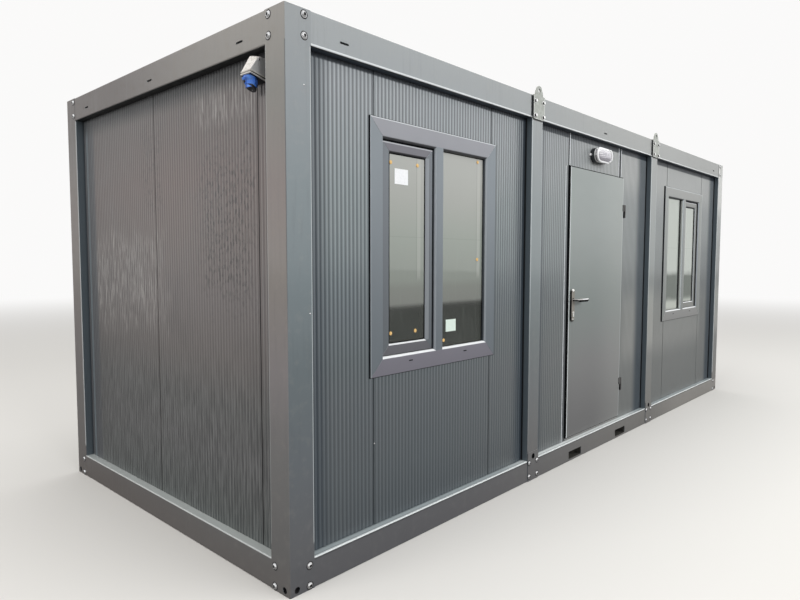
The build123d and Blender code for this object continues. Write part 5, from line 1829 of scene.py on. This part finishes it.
def studio_floor():
    """Plain pale floor that looks pale to the eye and throws little light back up."""
    coat = Finish("studio_floor")
    direct, mirrored, seen = rays_of(coat)
    coat.colour = coat.tint(seen, shade(120, 118, 116), shade(214, 212, 208))
    coat.lay(mirrored, 138, 136, 134)
    away = coat.node("ShaderNodeVectorMath", {"operation": "LENGTH"}, {0: coat.spot})
    away = rise(Value(coat, away.outputs["Value"]), 6.5, 24.0) * direct
    coat.lay(away, 0, 0, 0)
    glow = coat.tint(away, shade(0, 0, 0), (0.96, 0.955, 0.95, 1))
    return coat.cover(0.9, Emission_Color=glow, Emission_Strength=1.0, Specular_IOR_Level=0.0)


mesh = bpy.data.meshes.new("studio_floor")
reach = 60.0
corners = ((-reach, -reach, 0), (reach, -reach, 0), (reach, reach, 0), (-reach, reach, 0))
mesh.from_pydata(corners, [], [(0, 1, 2, 3)])
mesh.materials.append(studio_floor())
into_object("studio_floor", mesh)

world = bpy.data.worlds.new("soft_studio")
world.use_nodes = True
world.node_tree.nodes.clear()
sky = Graph(world.node_tree)
seen = rays_of(sky)[2]
direction = sky.node("ShaderNodeTexCoord")
parts = sky.node("ShaderNodeSeparateXYZ", (), {0: direction.outputs["Generated"]})
climb = sky.node("ShaderNodeMapRange", (), {"Value": parts.outputs[2], "From Min": -0.1, "From Max": 1.0})
dome = sky.node(
    "ShaderNodeMix",
    {"data_type": "RGBA"},
    {0: climb.outputs[0], 6: (0.50, 0.50, 0.50, 1), 7: (1.0, 1.0, 1.0, 1)},
)
light = sky.node("ShaderNodeBackground", (), {"Color": dome.outputs[2], "Strength": 0.85})
backdrop = sky.node("ShaderNodeBackground", (), {"Color": (0.96, 0.955, 0.95, 1), "Strength": 1.0})
mixed = sky.node("ShaderNodeMixShader", (), {0: seen, 1: light.outputs[0], 2: backdrop.outputs[0]})
sky.node("ShaderNodeOutputWorld", (), {0: mixed.outputs[0]})
bpy.context.scene.world = world


def softbox(name, place, aim, size, power, colour):
    """A large soft lamp aimed at a point."""
    lamp = bpy.data.lights.new(name, "AREA")
    lamp.shape = "RECTANGLE"
    lamp.size, lamp.size_y = size
    lamp.energy = power
    lamp.color = colour
    made = into_object(name, lamp)
    made.visible_glossy = False
    made.location = place
    made.rotation_euler = (Vector(aim) - Vector(place)).to_track_quat("-Z", "Y").to_euler()


softbox("front_softbox", (1.0, -13.0, 6.0), (0.0, -1.2, 1.3), (14.0, 6.0), 1450, (0.97, 0.985, 1.0))
softbox("end_softbox", (-14.0, 0.5, 5.5), (-3.0, 0.0, 1.4), (8.0, 5.0), 720, (1.0, 0.975, 0.95))
softbox("top_softbox", (0.0, 0.0, 12.0), (0.0, 0.0, 2.0), (12.0, 8.0), 520, (1.0, 1.0, 1.0))

camera_data = bpy.data.cameras.new("camera")
camera_data.lens = 27.836
camera_data.sensor_width = 36.0
camera_data.clip_end = 200.0
camera = into_object("camera", camera_data)
view = Vector((0.73223385, 0.67793359, -0.06511252)).normalized()
level = view.cross(Vector((0, 0, 1))).normalized()
upward = level.cross(view)
roll = math.radians(0.080)
right = level * math.cos(roll) + upward * math.sin(roll)
upward = upward * math.cos(roll) - level * math.sin(roll)
camera.matrix_world = Matrix((
    (right.x, upward.x, -view.x, -4.61814),
    (right.y, upward.y, -view.y, -3.33043),
    (right.z, upward.z, -view.z, 1.48141),
    (0, 0, 0, 1),
))
bpy.context.scene.camera = camera
bpy.context.scene.view_settings.view_transform = "Standard"
